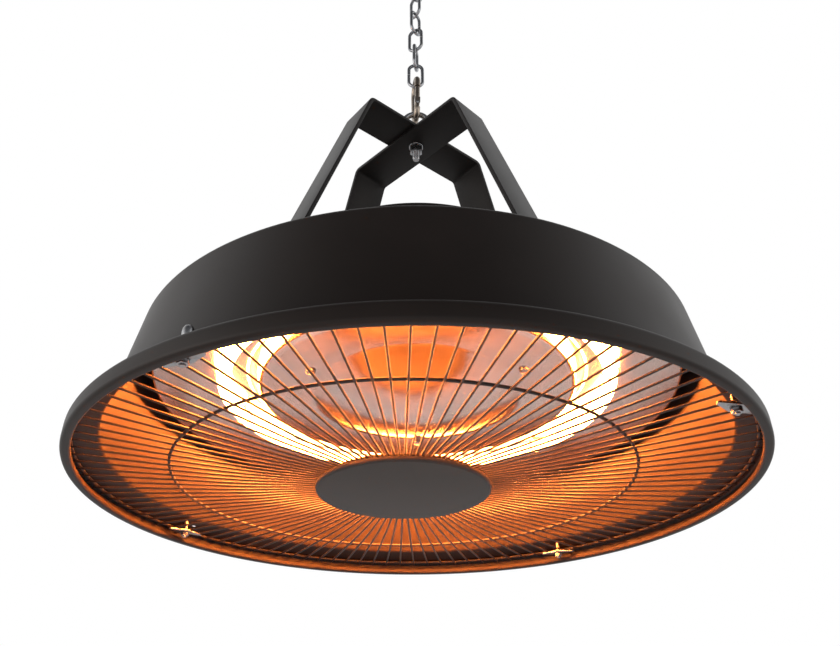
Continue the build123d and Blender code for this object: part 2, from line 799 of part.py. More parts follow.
# Standoffs between deck and reflector, with a screw in each end
standoff_foot = reflector_flat + sheet / 2
standoff_top = deck_height - sheet / 2
with BuildPart() as reflector_standoffs:
    with BuildSketch(Plane.XY.offset(rim_z + standoff_foot)):
        with standoff_places:
            RegularPolygon(standoff_across_flats / 2, 6, major_radius=False)
    extrude(amount=standoff_top - standoff_foot)
    for end, way in ((standoff_foot, 1), (standoff_top, -1)):
        with BuildSketch(Plane.XY.offset(rim_z + end)):
            with standoff_places:
                Circle(reflector_screw_radius)
        extrude(amount=way * standoff_bore, mode=Mode.SUBTRACT)
save(reflector_standoffs.part, "reflector_standoffs")

for name, seat, way in (
    ("reflector_screws", reflector_flat - sheet / 2, 1),
    ("deck_screws", deck_top, -1),
):
    with BuildPart() as screws:
        with BuildSketch(Plane.XY.offset(rim_z + seat)):
            with standoff_places:
                Circle(reflector_screw_head_radius)
        extrude(amount=-way * reflector_screw_head_height)
        with BuildSketch(Plane.XY.offset(rim_z + seat)):
            with standoff_places:
                Circle(reflector_screw_radius)
        extrude(amount=way * (sheet + standoff_screw_reach))
    save(screws.part, name)

# Quartz ring lamp: an open ring of tube with its filament
lamp_axis = Axis((0, 0, rim_z), (0, 0, 1))
lamp_arc = 360 - lamp_gap_angle
with BuildPart() as lamp_tube:
    with BuildSketch(upright(lamp_start_azimuth, rim_z + lamp_height)):
        with Locations((lamp_circle_radius, 0)):
            Circle(lamp_tube_radius)
            Circle(lamp_tube_radius - lamp_tube_wall, mode=Mode.SUBTRACT)
    revolve(axis=lamp_axis, revolution_arc=lamp_arc)
save(lamp_tube.part, "lamp_tube")

with BuildPart() as lamp_filament:
    with BuildSketch(upright(lamp_start_azimuth, rim_z + lamp_height)):
        with Locations((lamp_circle_radius, 0)):
            Circle(lamp_filament_radius)
    revolve(axis=lamp_axis, revolution_arc=lamp_arc)
save(lamp_filament.part, "lamp_filament")

# Ceramic caps on both lamp ends, each with a hole on top for its lead
lamp_level = Vector(0, 0, rim_z + lamp_height)
with BuildPart() as lamp_caps:
    for end, inward in lamp_ends:
        with BuildSketch(Plane(origin=end - inward * lamp_cap_overlap + lamp_level, z_dir=inward)):
            Circle(lamp_cap_radius)
        extrude(amount=lamp_cap_length)
        with BuildSketch(Plane(origin=end - inward * lamp_cap_overlap + lamp_level, z_dir=inward)):
            Circle(lamp_tube_radius + lamp_cap_socket_gap)
        extrude(amount=lamp_cap_overlap, mode=Mode.SUBTRACT)
    with BuildSketch(*spots(bush_places, lamp_height)):
        Circle(lead_radius + seat_gap)
    extrude(amount=2 * lamp_cap_radius, mode=Mode.SUBTRACT)
save(lamp_caps.part, "lamp_caps")

# Ceramic bushes that carry the leads through the reflector
bush_flange_foot = reflector_line(lamp_circle_radius - bush_flange_radius) + sheet
bush_top = bush_flange_foot + bush_flange_thickness
with BuildPart() as lamp_bushes:
    with BuildSketch(*spots(bush_places, bush_flange_foot)):
        Circle(bush_flange_radius)
    extrude(amount=bush_flange_thickness)
    with BuildSketch(*spots(bush_places, lamp_height + lamp_cap_radius + screw_gap)):
        Circle(bush_radius)
    extrude(amount=bush_top - lamp_height - lamp_cap_radius)
    with BuildSketch(*spots(bush_places, lamp_height)):
        Circle(lead_radius + seat_gap)
    extrude(amount=bush_top, mode=Mode.SUBTRACT)
save(lamp_bushes.part, "lamp_bushes")

# Leads from the lamp caps to the terminal block
for name, bush, pole in zip(("lamp_lead_live", "lamp_lead_neutral"), bush_places, pole_places):
    with BuildPart() as lead:
        with BuildLine() as route:
            FilletPolyline(
                bush + Vector(0, 0, rim_z + lamp_height),
                bush + Vector(0, 0, rim_z + bush_top + lead_rise),
                pole + Vector(0, 0, rim_z + deck_height - lead_rise),
                pole + Vector(0, 0, rim_z + crown_top),
                radius=lead_bend_radius,
            )
        with BuildSketch(Plane(origin=route.line @ 0, z_dir=route.line % 0)):
            Circle(lead_radius)
        sweep(path=route.line)
    save(lead.part, name)

with BuildPart() as deck_grommets:
    for foot in (deck_height - sheet / 2 - grommet_flange_thickness, deck_top):
        with BuildSketch(*spots(pole_places, foot)):
            Circle(grommet_flange_radius)
        extrude(amount=grommet_flange_thickness)
    with BuildSketch(*spots(pole_places, deck_height - sheet / 2)):
        Circle(grommet_radius)
    extrude(amount=sheet)
    with BuildSketch(*spots(pole_places, deck_height - 2 * sheet - grommet_flange_thickness)):
        Circle(lead_radius + seat_gap)
    extrude(amount=4 * sheet + 2 * grommet_flange_thickness, mode=Mode.SUBTRACT)
save(deck_grommets.part, "deck_grommets")

# Lamp holders: a band round each cap whose tab goes through a slot in the reflector
holder_top = reflector_line(lamp_circle_radius) + holder_tail
with BuildPart() as lamp_holders:
    for place, along in holder_places:
        start = place - along * holder_width / 2
        with BuildSketch(Plane(origin=start + lamp_level, z_dir=along)):
            Circle(lamp_cap_radius + holder_thickness)
        extrude(amount=holder_width)
        with BuildSketch(Plane(origin=place + lamp_level, x_dir=along, z_dir=(0, 0, 1))):
            Rectangle(holder_width, holder_thickness)
        extrude(amount=holder_top - lamp_height)
        with BuildSketch(Plane(origin=start + lamp_level, z_dir=along)):
            Circle(lamp_cap_radius)
        extrude(amount=holder_width, mode=Mode.SUBTRACT)
save(lamp_holders.part, "lamp_holders")

# Wire supports: a ring round the tube with a stem through the reflector
support_radius = lamp_tube_radius + lamp_support_wire / 2
support_top = reflector_line(lamp_circle_radius) + lamp_support_tail
with BuildPart() as lamp_supports:
    for azimuth in lamp_support_azimuths:
        centre = direction(azimuth) * lamp_circle_radius + lamp_level
        with BuildSketch(Plane(origin=centre, x_dir=direction(azimuth))):
            with Locations((support_radius, 0)):
                Circle(lamp_support_wire / 2)
        revolve(axis=Axis(tuple(centre), tuple(direction(azimuth + 90))))
    with BuildSketch(*spots(support_places, lamp_height + support_radius)):
        Circle(lamp_support_wire / 2)
    extrude(amount=support_top - lamp_height - support_radius)
save(lamp_supports.part, "lamp_supports")

# Guard: hexagonal-section spokes welded under three rings, all one piece
hub = Vector(guard_hub_offset, 0, rim_z)
ring_offset = guard_outer_offset - guard_hub_offset


def spoke(angle):
    """A spoke from the hub, bent once, that ends just past the outer ring."""
    across = ring_offset * sin(radians(angle))
    reach = ring_offset * cos(radians(angle)) + sqrt(guard_outer_ring_radius**2 - across**2)
    rise = (rim_spoke_height - hub_spoke_height) / (reach - spoke_bend_radius_from_hub)
    tip = reach + guard_outer_ring_wire / 2 + spoke_tip_length
    tip_height = hub_spoke_height + rise * (tip - spoke_bend_radius_from_hub)
    plane = Plane(origin=hub, x_dir=direction(angle), z_dir=direction(angle).cross(Vector(0, 0, 1)))
    with BuildPart() as wire:
        with BuildLine(plane) as run:
            Polyline(
                (spoke_inner_radius, hub_spoke_height),
                (spoke_bend_radius_from_hub, hub_spoke_height),
                (tip, tip_height),
            )
        with BuildSketch(Plane(origin=run.line @ 0, x_dir=plane.z_dir, z_dir=run.line % 0)):
            RegularPolygon(spoke_wire / 2, spoke_sides, major_radius=False)
        sweep(path=run.line, transition=Transition.RIGHT)
    return wire.part


def ring_height(radius, wire):
    """Height of a ring whose underside is welded into the spokes at a radius from the hub."""
    mean_rise = (rim_spoke_height - hub_spoke_height) / (
        guard_outer_ring_radius - spoke_bend_radius_from_hub
    )
    climb = max(0, radius - spoke_bend_radius_from_hub) * mean_rise
    return hub_spoke_height + climb + (spoke_wire + wire) / 2 - weld_depth


guard_rings = (
    (guard_inner_ring_radius, guard_inner_ring_wire, guard_hub_offset),
    (guard_middle_ring_radius, guard_middle_ring_wire, guard_middle_offset),
    (guard_outer_ring_radius, guard_outer_ring_wire, guard_outer_offset),
)
with BuildPart() as guard:
    for radius, wire, offset in guard_rings:
        with BuildSketch(rim_plane):
            with Locations((offset + radius, ring_height(radius, wire))):
                RegularPolygon(wire / 2, ring_sides, major_radius=False, rotation=180 / ring_sides)
        revolve(axis=Axis((offset, 0, rim_z), (0, 0, 1)))
    add([spoke(spoke_first_angle + k * 360 / spoke_count) for k in range(spoke_count)])
save(guard.part, "guard")

# Hub cap: a shallow dish whose turned-up edge is welded to the spokes
cap_plane = Plane(origin=hub, x_dir=(1, 0, 0), z_dir=(0, -1, 0))
with BuildPart() as hub_cap:
    with BuildSketch(cap_plane):
        with BuildLine():
            FilletPolyline(
                (0, hub_cap_face_height + sheet / 2),
                (hub_cap_radius - sheet / 2, hub_cap_face_height + sheet / 2),
                (hub_cap_radius - sheet / 2, hub_spoke_height - spoke_wire / 2),
                radius=hub_cap_bend_radius,
            )
        trace(line_width=sheet)
    revolve(axis=Axis(tuple(hub), (0, 0, 1)))
save(hub_cap.part, "hub_cap")

# Retaining clips: screws through the flange carry lozenge plates under the spokes
flange_rise = (wall_bottom_height - lip_height) / (rim_radius - sheet / 2 - wall_bottom_radius)
washer_edge = clip_screw_circle_radius - clip_washer_radius
flange_top = lip_height + (rim_radius - sheet / 2 - washer_edge) * flange_rise + sheet / 2 * sqrt(
    1 + flange_rise**2
)
washer_foot = flange_top + seat_gap
steepest_rise = (rim_spoke_height - hub_spoke_height) / (
    guard_outer_ring_radius - ring_offset - spoke_bend_radius_from_hub
)
plate_top = rim_spoke_height - spoke_wire / 2 - hang_gap - (
    guard_outer_ring_radius - clip_screw_circle_radius + clip_length / 2
) * steepest_rise
plate_foot = plate_top - clip_thickness
nut_top = plate_foot - clip_nut_gap
screw_end = nut_top - clip_nut_thickness - clip_screw_tail
plate_level = Vector(0, 0, rim_z + plate_foot)

for number, (place, azimuth, turn) in enumerate(zip(clip_places, clip_azimuths, clip_turns), start=1):
    along = direction(azimuth + 90 + turn)
    with BuildPart() as clip_plate:
        with BuildSketch(Plane(origin=place + plate_level, x_dir=along, z_dir=(0, 0, 1))):
            with GridLocations(clip_length - 2 * clip_end_radius, 0, 2, 1):
                Circle(clip_end_radius)
            Circle(clip_width / 2)
            make_hull()
            Circle(clip_screw_radius + running_gap, mode=Mode.SUBTRACT)
        extrude(amount=clip_thickness)
    save(clip_plate.part, f"clip_plate_{number}")

with BuildPart() as clip_screws:
    with BuildSketch(*spots(clip_places, washer_foot + clip_washer_thickness)):
        Circle(clip_head_radius)
    extrude(amount=clip_head_height)
    fillet(clip_screws.faces().filter_by(Axis.Z).group_by(Axis.Z)[-1].edges(), clip_head_height / 2)
    with BuildSketch(*spots(clip_places, washer_foot + clip_washer_thickness)):
        Circle(clip_screw_radius)
    extrude(amount=screw_end - washer_foot - clip_washer_thickness)
save(clip_screws.part, "clip_screws")

with BuildPart() as clip_washers:
    with BuildSketch(*spots(clip_places, washer_foot)):
        Circle(clip_washer_radius)
        Circle(clip_screw_radius + seat_gap, mode=Mode.SUBTRACT)
    extrude(amount=clip_washer_thickness)
save(clip_washers.part, "clip_washers")

with BuildPart() as clip_nuts:
    with BuildSketch(*spots(clip_places, nut_top)):
        RegularPolygon(clip_nut_across_flats / 2, 6, major_radius=False)
        Circle(clip_screw_radius, mode=Mode.SUBTRACT)
    extrude(amount=-clip_nut_thickness)
save(clip_nuts.part, "clip_nuts")

print("Rim plane at Z", round(rim_z, 3))
print("Gate pivot at", tuple(round(value, 3) for value in hook_plane.from_local_coords(Vector(*pivot, 0))))
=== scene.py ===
"""Looks of a hanging patio heater: a black spun shade with a glowing ring lamp, a wire guard and a chain.

Sizes are in millimetres, with the origin on the ceiling over the chain and +Z up. The bench turns them
into Blender's metres when it makes a shape.
"""

from __future__ import annotations

import logging
import math
from dataclasses import dataclass
from enum import Enum
from typing import Callable, Iterable, Sequence

import bmesh
import bpy
from mathutils import Matrix, Vector

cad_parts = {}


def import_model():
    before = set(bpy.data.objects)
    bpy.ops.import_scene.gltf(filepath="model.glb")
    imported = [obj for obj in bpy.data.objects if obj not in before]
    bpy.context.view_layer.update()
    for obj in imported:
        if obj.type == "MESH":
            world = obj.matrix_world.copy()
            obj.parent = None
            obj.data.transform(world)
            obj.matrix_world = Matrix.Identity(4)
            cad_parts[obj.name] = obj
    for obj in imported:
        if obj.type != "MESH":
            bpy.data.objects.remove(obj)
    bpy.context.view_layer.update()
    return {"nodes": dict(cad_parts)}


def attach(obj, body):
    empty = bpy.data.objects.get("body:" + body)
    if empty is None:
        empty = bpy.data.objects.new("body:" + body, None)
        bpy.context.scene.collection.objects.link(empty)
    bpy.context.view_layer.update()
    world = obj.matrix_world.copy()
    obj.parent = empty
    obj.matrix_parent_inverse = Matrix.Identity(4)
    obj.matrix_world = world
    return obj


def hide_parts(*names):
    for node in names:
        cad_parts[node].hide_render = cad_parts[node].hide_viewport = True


LOG = logging.getLogger("patio_heater")
MM = 0.001
UP = Vector((0.0, 0.0, 1.0))
ORIGIN = Vector((0.0, 0.0, 0.0))
LAID = Matrix.Rotation(math.pi / 2, 4, "X")
TURN = 2 * math.pi
# Vertices merge at this distance in metres, and one step of a bent wire turns by about this many degrees.
DOUBLES = 0.005 * MM
BEND_STEP = 7.5
# Sizes that several pieces share, in millimetres and degrees. RIM is the height of the shade's rim plane,
# and DECK the height of the middle of the deck's sheet over it. The lamp's ring is open at its gap.
RIM = -728.1
SHEET = 1.0
DECK = 188.14
CLIP_CIRCLE = 264.0
CLIP_AZIMUTHS = (54.8, 150.8, -121.8, -35.1)
LAMP_GAP_MIDDLE = -66.0
LAMP_GAP = 26.0

Line = Sequence[tuple[float, float]]
Bends = dict[int, float]
Colour = tuple[float, float, float]
Test = Callable[[Vector], bool]
Piece = bpy.types.Object

WHITE: Colour = (1.0, 1.0, 1.0)


def spot(azimuth: float, radius: float, height: float) -> Vector:
    """Gives the point at an azimuth in degrees, a distance from the axis and a height, in millimetres."""
    angle = math.radians(azimuth)
    return Vector((math.cos(angle), math.sin(angle), 0.0)) * radius + UP * height


def upright(azimuth: float, origin: Vector) -> Matrix:
    """Places a shape drawn in X and Z in the upright plane at an azimuth.

    Args:
        azimuth: Where the shape's X axis points, in degrees.
        origin: Where the shape's origin goes, in millimetres.

    Returns:
        The matrix that puts the shape there, in metres.
    """
    return Matrix.Translation(origin * MM) @ Matrix.Rotation(math.radians(azimuth), 4, "Z")


class Part(Enum):
    """What a bench step picks in edit mode."""

    VERTS = "VERT"
    FACES = "FACE"


class Trim(Enum):
    """How one solid works on another."""

    CUT = "DIFFERENCE"
    ADD = "UNION"
    KEEP = "INTERSECT"


@dataclass(frozen=True)
class Run:
    """A straight stretch of a bent wire, in millimetres."""

    length: float


@dataclass(frozen=True)
class Bend:
    """An arc of a bent wire: its radius in millimetres, and its turn in degrees from X towards Z."""

    radius: float
    turn: float


class Bench:
    """Steps of modelling by hand, made with Blender's own operators."""

    def clear(self) -> None:
        """Leaves object mode on and nothing selected."""
        if bpy.context.object and bpy.context.object.mode != "OBJECT":
            bpy.ops.object.mode_set(mode="OBJECT")
        bpy.ops.object.select_all(action="DESELECT")

    def hold(self, *pieces: Piece) -> None:
        """Selects pieces and nothing else, in object mode, with the first of them active."""
        self.clear()
        for piece in pieces:
            piece.select_set(True)
        bpy.context.view_layer.objects.active = pieces[0]

    def edit(self, piece: Piece) -> None:
        """Opens a piece in edit mode, with all of it selected."""
        self.hold(piece)
        bpy.ops.object.mode_set(mode="EDIT")
        bpy.ops.mesh.select_mode(type=Part.VERTS.value)
        bpy.ops.mesh.select_all(action="SELECT")

    def added(self, name: str) -> Piece:
        """Names the primitive that was just added, and puts its place into its mesh."""
        piece = bpy.context.object
        piece.name = name
        piece.data.name = name
        bpy.ops.object.transform_apply(location=True, rotation=True, scale=True)
        return piece

    def pick(self, part: Part, test: Test) -> None:
        """Selects what passes a test in edit mode, and nothing else.

        Args:
            part: Vertices or faces.
            test: Says yes or no to the middle of each, in metres.
        """
        bpy.ops.mesh.select_mode(type=part.value)
        bpy.ops.mesh.select_all(action="DESELECT")
        cage = bmesh.from_edit_mesh(bpy.context.object.data)
        if part is Part.VERTS:
            middles = [(vertex, vertex.co) for vertex in cage.verts]
        else:
            middles = [(face, face.calc_center_median()) for face in cage.faces]
        for item, middle in middles:
            item.select = test(middle)
        cage.select_flush_mode()
        bmesh.update_edit_mesh(bpy.context.object.data)

    def modify(self, piece: Piece, kind: str, **settings: object) -> None:
        """Adds a modifier with its settings and applies it."""
        self.hold(piece)
        modifier = piece.modifiers.new(kind.lower(), kind)
        for name, value in settings.items():
            setattr(modifier, name, value)
        bpy.ops.object.modifier_apply(modifier=modifier.name)

    def work(self, piece: Piece, tool: Piece, trim: Trim) -> None:
        """Cuts, adds or keeps with another solid, which is then removed."""
        self.modify(piece, "BOOLEAN", object=tool, operation=trim.value, solver="EXACT")
        bpy.data.objects.remove(tool)

    def join(self, pieces: Sequence[Piece], name: str) -> Piece:
        """Joins pieces into the first of them."""
        self.hold(*pieces)
        bpy.ops.object.join()
        pieces[0].name = name
        return pieces[0]

    def copy(self, piece: Piece, name: str, place: Matrix) -> Piece:
        """Copies a piece with a mesh of its own, moved by a matrix."""
        twin = piece.copy()
        twin.data = piece.data.copy()
        twin.name = name
        bpy.context.scene.collection.objects.link(twin)
        twin.data.transform(place)
        return twin

    def everywhere(self, piece: Piece, name: str, places: Iterable[Matrix]) -> Piece:
        """Copies a piece to several places as one object, and removes the first.

        Args:
            piece: The piece, made at the origin.
            name: The name of the new object.
            places: Where each copy goes, in metres.

        Returns:
            The object of all copies.
        """
        twins = [self.copy(piece, f"{name}_{k}", place) for k, place in enumerate(places)]
        bpy.data.objects.remove(piece)
        return self.join(twins, name)

    def settle(self, piece: Piece, angle: float) -> None:
        """Puts a piece's place into its mesh and smooths it up to an angle in degrees."""
        self.hold(piece)
        bpy.ops.object.transform_apply(location=True, rotation=True, scale=True)
        bpy.ops.object.shade_smooth_by_angle(angle=math.radians(angle))

    def torus(
        self, name: str, radius: float, wire: float, steps: tuple[int, int], middle: Vector = ORIGIN,
        turned: tuple[float, float, float] = (0.0, 0.0, 0.0),
    ) -> Piece:
        """Makes a round ring of wire.

        Args:
            name: The piece's name.
            radius: The radius of the wire's centre line, in millimetres.
            wire: The wire's thickness.
            steps: How many steps there are along the ring and round the wire.
            middle: The ring's middle, in millimetres.
            turned: The ring's turn from lying flat, in radians about X, Y and Z.

        Returns:
            The ring, in object mode.
        """
        self.clear()
        bpy.ops.mesh.primitive_torus_add(
            major_radius=radius * MM, minor_radius=wire / 2 * MM, major_segments=steps[0],
            minor_segments=steps[1], location=middle * MM, rotation=turned,
        )
        return self.added(name)

    def section(
        self, name: str, radius: float, sides: int, at: Vector, turned: tuple[float, float, float]
    ) -> Piece:
        """Makes the round end of a wire, and leaves it open in edit mode.

        Args:
            name: The piece's name.
            radius: The wire's radius, in millimetres.
            sides: How many sides the round wire has.
            at: The middle of the end, in metres.
            turned: Its turn from lying flat, in radians about X, Y and Z.

        Returns:
            The new piece.
        """
        self.clear()
        bpy.ops.mesh.primitive_circle_add(
            vertices=sides, radius=radius * MM, fill_type="NOTHING", location=at, rotation=turned
        )
        piece = self.added(name)
        self.edit(piece)
        return piece

    def polyline(self, name: str, line: Line, base: Vector, bends: Bends, arcs: int) -> Piece:
        """Draws a bent line in X and Z from a single point, and leaves it open in edit mode.

        Args:
            name: The piece's name.
            line: The corners as X and Z, in millimetres.
            base: Where the line's origin is, in millimetres.
            bends: The bend radius of each rounded corner, by its number in the line.
            arcs: How many steps each bend gets.

        Returns:
            The new piece.
        """
        self.clear()
        corners = [(base + Vector((x, 0.0, z))) * MM for x, z in line]
        bpy.ops.mesh.primitive_plane_add(size=MM, location=corners[0])
        piece = self.added(name)
        self.edit(piece)
        bpy.ops.mesh.merge(type="CENTER")
        for before, after in zip(corners, corners[1:]):
            bpy.ops.mesh.extrude_vertices_move(TRANSFORM_OT_translate={"value": after - before})
        for number, radius in bends.items():
            here = corners[number]
            ahead = (corners[(number + 1) % len(corners)] - here).normalized()
            behind = (here - corners[number - 1]).normalized()
            reach = radius * MM * math.tan(ahead.angle(behind) / 2)
            self.pick(Part.VERTS, lambda co: (co - here).length < MM * 0.01)
            bpy.ops.mesh.bevel(
                offset_type="OFFSET", offset=reach, segments=arcs, affect="VERTICES", clamp_overlap=False
            )
        bpy.ops.mesh.select_mode(type=Part.VERTS.value)
        bpy.ops.mesh.select_all(action="SELECT")
        return piece

    def close(self, piece: Piece) -> None:
        """Merges doubles, closes open ends and turns the faces outwards."""
        self.edit(piece)
        bpy.ops.mesh.remove_doubles(threshold=DOUBLES)
        bpy.ops.mesh.select_all(action="DESELECT")
        bpy.ops.mesh.select_non_manifold(
            extend=False, use_wire=False, use_boundary=True, use_multi_face=False,
            use_non_contiguous=False, use_verts=False,
        )
        bpy.ops.mesh.fill_holes(sides=0)
        bpy.ops.mesh.select_all(action="SELECT")
        bpy.ops.mesh.normals_make_consistent(inside=False)
        bpy.ops.object.mode_set(mode="OBJECT")

    def lathe(
        self,
        name: str,
        line: Line,
        base: Vector = ORIGIN,
        bends: Bends | None = None,
        steps: int = 48,
        arcs: int = 5,
        sheet: float = 0.0,
        ring: bool = False,
    ) -> Piece:
        """Spins a bent line round its own upright axis.

        Args:
            name: The piece's name.
            line: The corners as radius and height, in millimetres.
            base: A point on the axis, in millimetres.
            bends: The bend radius of each rounded corner, by its number.
            steps: How many steps the full turn gets.
            arcs: How many steps each bend gets.
            sheet: The thickness of sheet metal round the line, or 0 for a solid.
            ring: Whether the line goes back to its first corner.

        Returns:
            The spun piece, in object mode.
        """
        corners = [*line, line[0]] if ring else line
        piece = self.polyline(name, corners, base, bends or {}, arcs)
        if ring:
            bpy.ops.mesh.remove_doubles(threshold=DOUBLES)
            bpy.ops.mesh.select_all(action="SELECT")
        bpy.ops.mesh.spin(steps=steps, angle=TURN, center=base * MM, axis=UP)
        if sheet:
            bpy.ops.mesh.select_all(action="SELECT")
            bpy.ops.mesh.remove_doubles(threshold=DOUBLES)
            bpy.ops.mesh.normals_make_consistent(inside=False)
            bpy.ops.object.mode_set(mode="OBJECT")
            self.modify(piece, "SOLIDIFY", thickness=sheet * MM, offset=0.0, use_even_offset=True)
        else:
            self.close(piece)
        return piece

    def prism(self, name: str, radius: float, depth: float, sides: int, low: float = 0.0) -> Piece:
        """Makes an upright prism or cylinder at the origin.

        Args:
            name: The piece's name.
            radius: The radius to its corners, in millimetres.
            depth: Its height.
            sides: How many sides it has.
            low: The height of its lower face.

        Returns:
            The new piece, in object mode.
        """
        self.clear()
        middle = UP * (low + depth / 2) * MM
        bpy.ops.mesh.primitive_cylinder_add(
            vertices=sides, radius=radius * MM, depth=depth * MM, location=middle
        )
        return self.added(name)

    def block(self, name: str, width: float, depth: float) -> Piece:
        """Makes an upright square block with its middle at the origin, in object mode."""
        piece = self.prism(name, width / 2 * math.sqrt(2), depth, 4, -depth / 2)
        piece.data.transform(Matrix.Rotation(math.pi / 4, 4, "Z"))
        return piece

    def soften(self, piece: Piece, width: float, segments: int = 2, angle: float = 30.0) -> None:
        """Rounds a piece's sharp edges by a width in millimetres."""
        self.modify(
            piece, "BEVEL", width=width * MM, segments=segments, limit_method="ANGLE",
            angle_limit=math.radians(angle), harden_normals=False, use_clamp_overlap=True,
        )

    def hexagon(self, name: str, across: float, thick: float, bore: float) -> Piece:
        """Makes a hexagon nut with turned corners, standing on the origin.

        Args:
            name: The piece's name.
            across: Its width across the flats, in millimetres.
            thick: Its thickness.
            bore: The radius of its bore, or 0 for none.

        Returns:
            The nut, in object mode.
        """
        corner = across / math.sqrt(3)
        piece = self.prism(name, corner, thick, 6)
        fall = (corner - across / 2) * 0.6
        face, side = across / 2 * 0.97, corner * 1.01
        line = [(0.0, 0.0), (face, 0.0), (side, fall), (side, thick - fall), (face, thick), (0.0, thick)]
        self.work(piece, self.lathe(f"{name}_turned", line), Trim.KEEP)
        if bore:
            bevel, past = 0.35, 0.1
            mouth = bore + bevel + past
            line = [
                (0.0, -past), (mouth, -past), (bore, bevel), (bore, thick - bevel),
                (mouth, thick + past), (0.0, thick + past),
            ]
            self.work(piece, self.lathe(f"{name}_bore", line, steps=32), Trim.CUT)
        return piece

    def wire(
        self,
        name: str,
        start: tuple[float, float],
        heading: float,
        moves: Sequence[Run | Bend],
        radius: float,
        place: Matrix,
        sides: int = 20,
    ) -> Piece:
        """Bends a round wire in the X and Z plane by extruding and spinning its end.

        Args:
            name: The piece's name.
            start: Where the wire starts, as X and Z in millimetres.
            heading: The way it sets out, in degrees from X towards Z.
            moves: The runs and bends, in order. A bend with a plus turn goes from X towards Z.
            radius: The wire's radius.
            place: The matrix that puts the plane in its place, in metres.
            sides: How many sides the round wire has.

        Returns:
            The wire with closed ends, in object mode.
        """
        at = Vector((start[0], 0.0, start[1])) * MM
        angle = math.radians(heading)
        piece = self.section(name, radius, sides, at, (0.0, math.pi / 2 - angle, 0.0))
        for move in moves:
            ahead = Vector((math.cos(angle), 0.0, math.sin(angle)))
            if isinstance(move, Run):
                step = ahead * move.length * MM
                bpy.ops.mesh.extrude_region_move(TRANSFORM_OT_translate={"value": step})
                at = at + step
                continue
            side = 1 if move.turn > 0 else -1
            aside = Vector((-ahead.z, 0.0, ahead.x)) * side
            centre = at + aside * move.radius * MM
            turn = math.radians(move.turn)
            steps = max(4, round(abs(move.turn) / BEND_STEP))
            bpy.ops.mesh.spin(steps=steps, angle=turn, center=centre, axis=(0.0, 1.0, 0.0))
            angle += turn
            at = centre + Matrix.Rotation(-turn, 3, "Y") @ (at - centre)
        bpy.ops.object.mode_set(mode="OBJECT")
        piece.data.transform(place)
        self.close(piece)
        return piece


class Signal:
    """A number or a colour that leaves a shader node, with arithmetic that adds Math nodes."""

    def __init__(self, sheet: "NodeSheet", socket: bpy.types.NodeSocket) -> None:
        """Keeps the sheet that the node is on and the socket."""
        self.sheet = sheet
        self.socket = socket

    def maths(self, operation: str, *others: "Signal | float") -> "Signal":
        """Adds a Math node whose first input is this signal."""
        return self.sheet.signal("ShaderNodeMath", {"operation": operation}, [self, *others])

    def __add__(self, other: "Signal | float") -> "Signal":
        """Adds."""
        return self.maths("ADD", other)

    __radd__ = __add__

    def __mul__(self, other: "Signal | float") -> "Signal":
        """Multiplies."""
        return self.maths("MULTIPLY", other)

    __rmul__ = __mul__

    def __sub__(self, other: "Signal | float") -> "Signal":
        """Takes the other away."""
        return self.maths("SUBTRACT", other)

    def __rsub__(self, other: float) -> "Signal":
        """Takes this away from a number."""
        return self.sheet.signal("ShaderNodeMath", {"operation": "SUBTRACT"}, [other, self])

    def __pow__(self, other: float) -> "Signal":
        """Raises to a power."""
        return self.maths("POWER", other)

    def __rpow__(self, other: float) -> "Signal":
        """Raises a number to this."""
        return self.sheet.signal("ShaderNodeMath", {"operation": "POWER"}, [other, self])

    def over(self, low: float, high: float) -> "Signal":
        """Goes smoothly from 0 at one value to 1 at another."""
        settings = {"interpolation_type": "SMOOTHSTEP", "clamp": True}
        inputs = {"Value": self, "From Min": low, "From Max": high}
        return self.sheet.signal("ShaderNodeMapRange", settings, inputs)


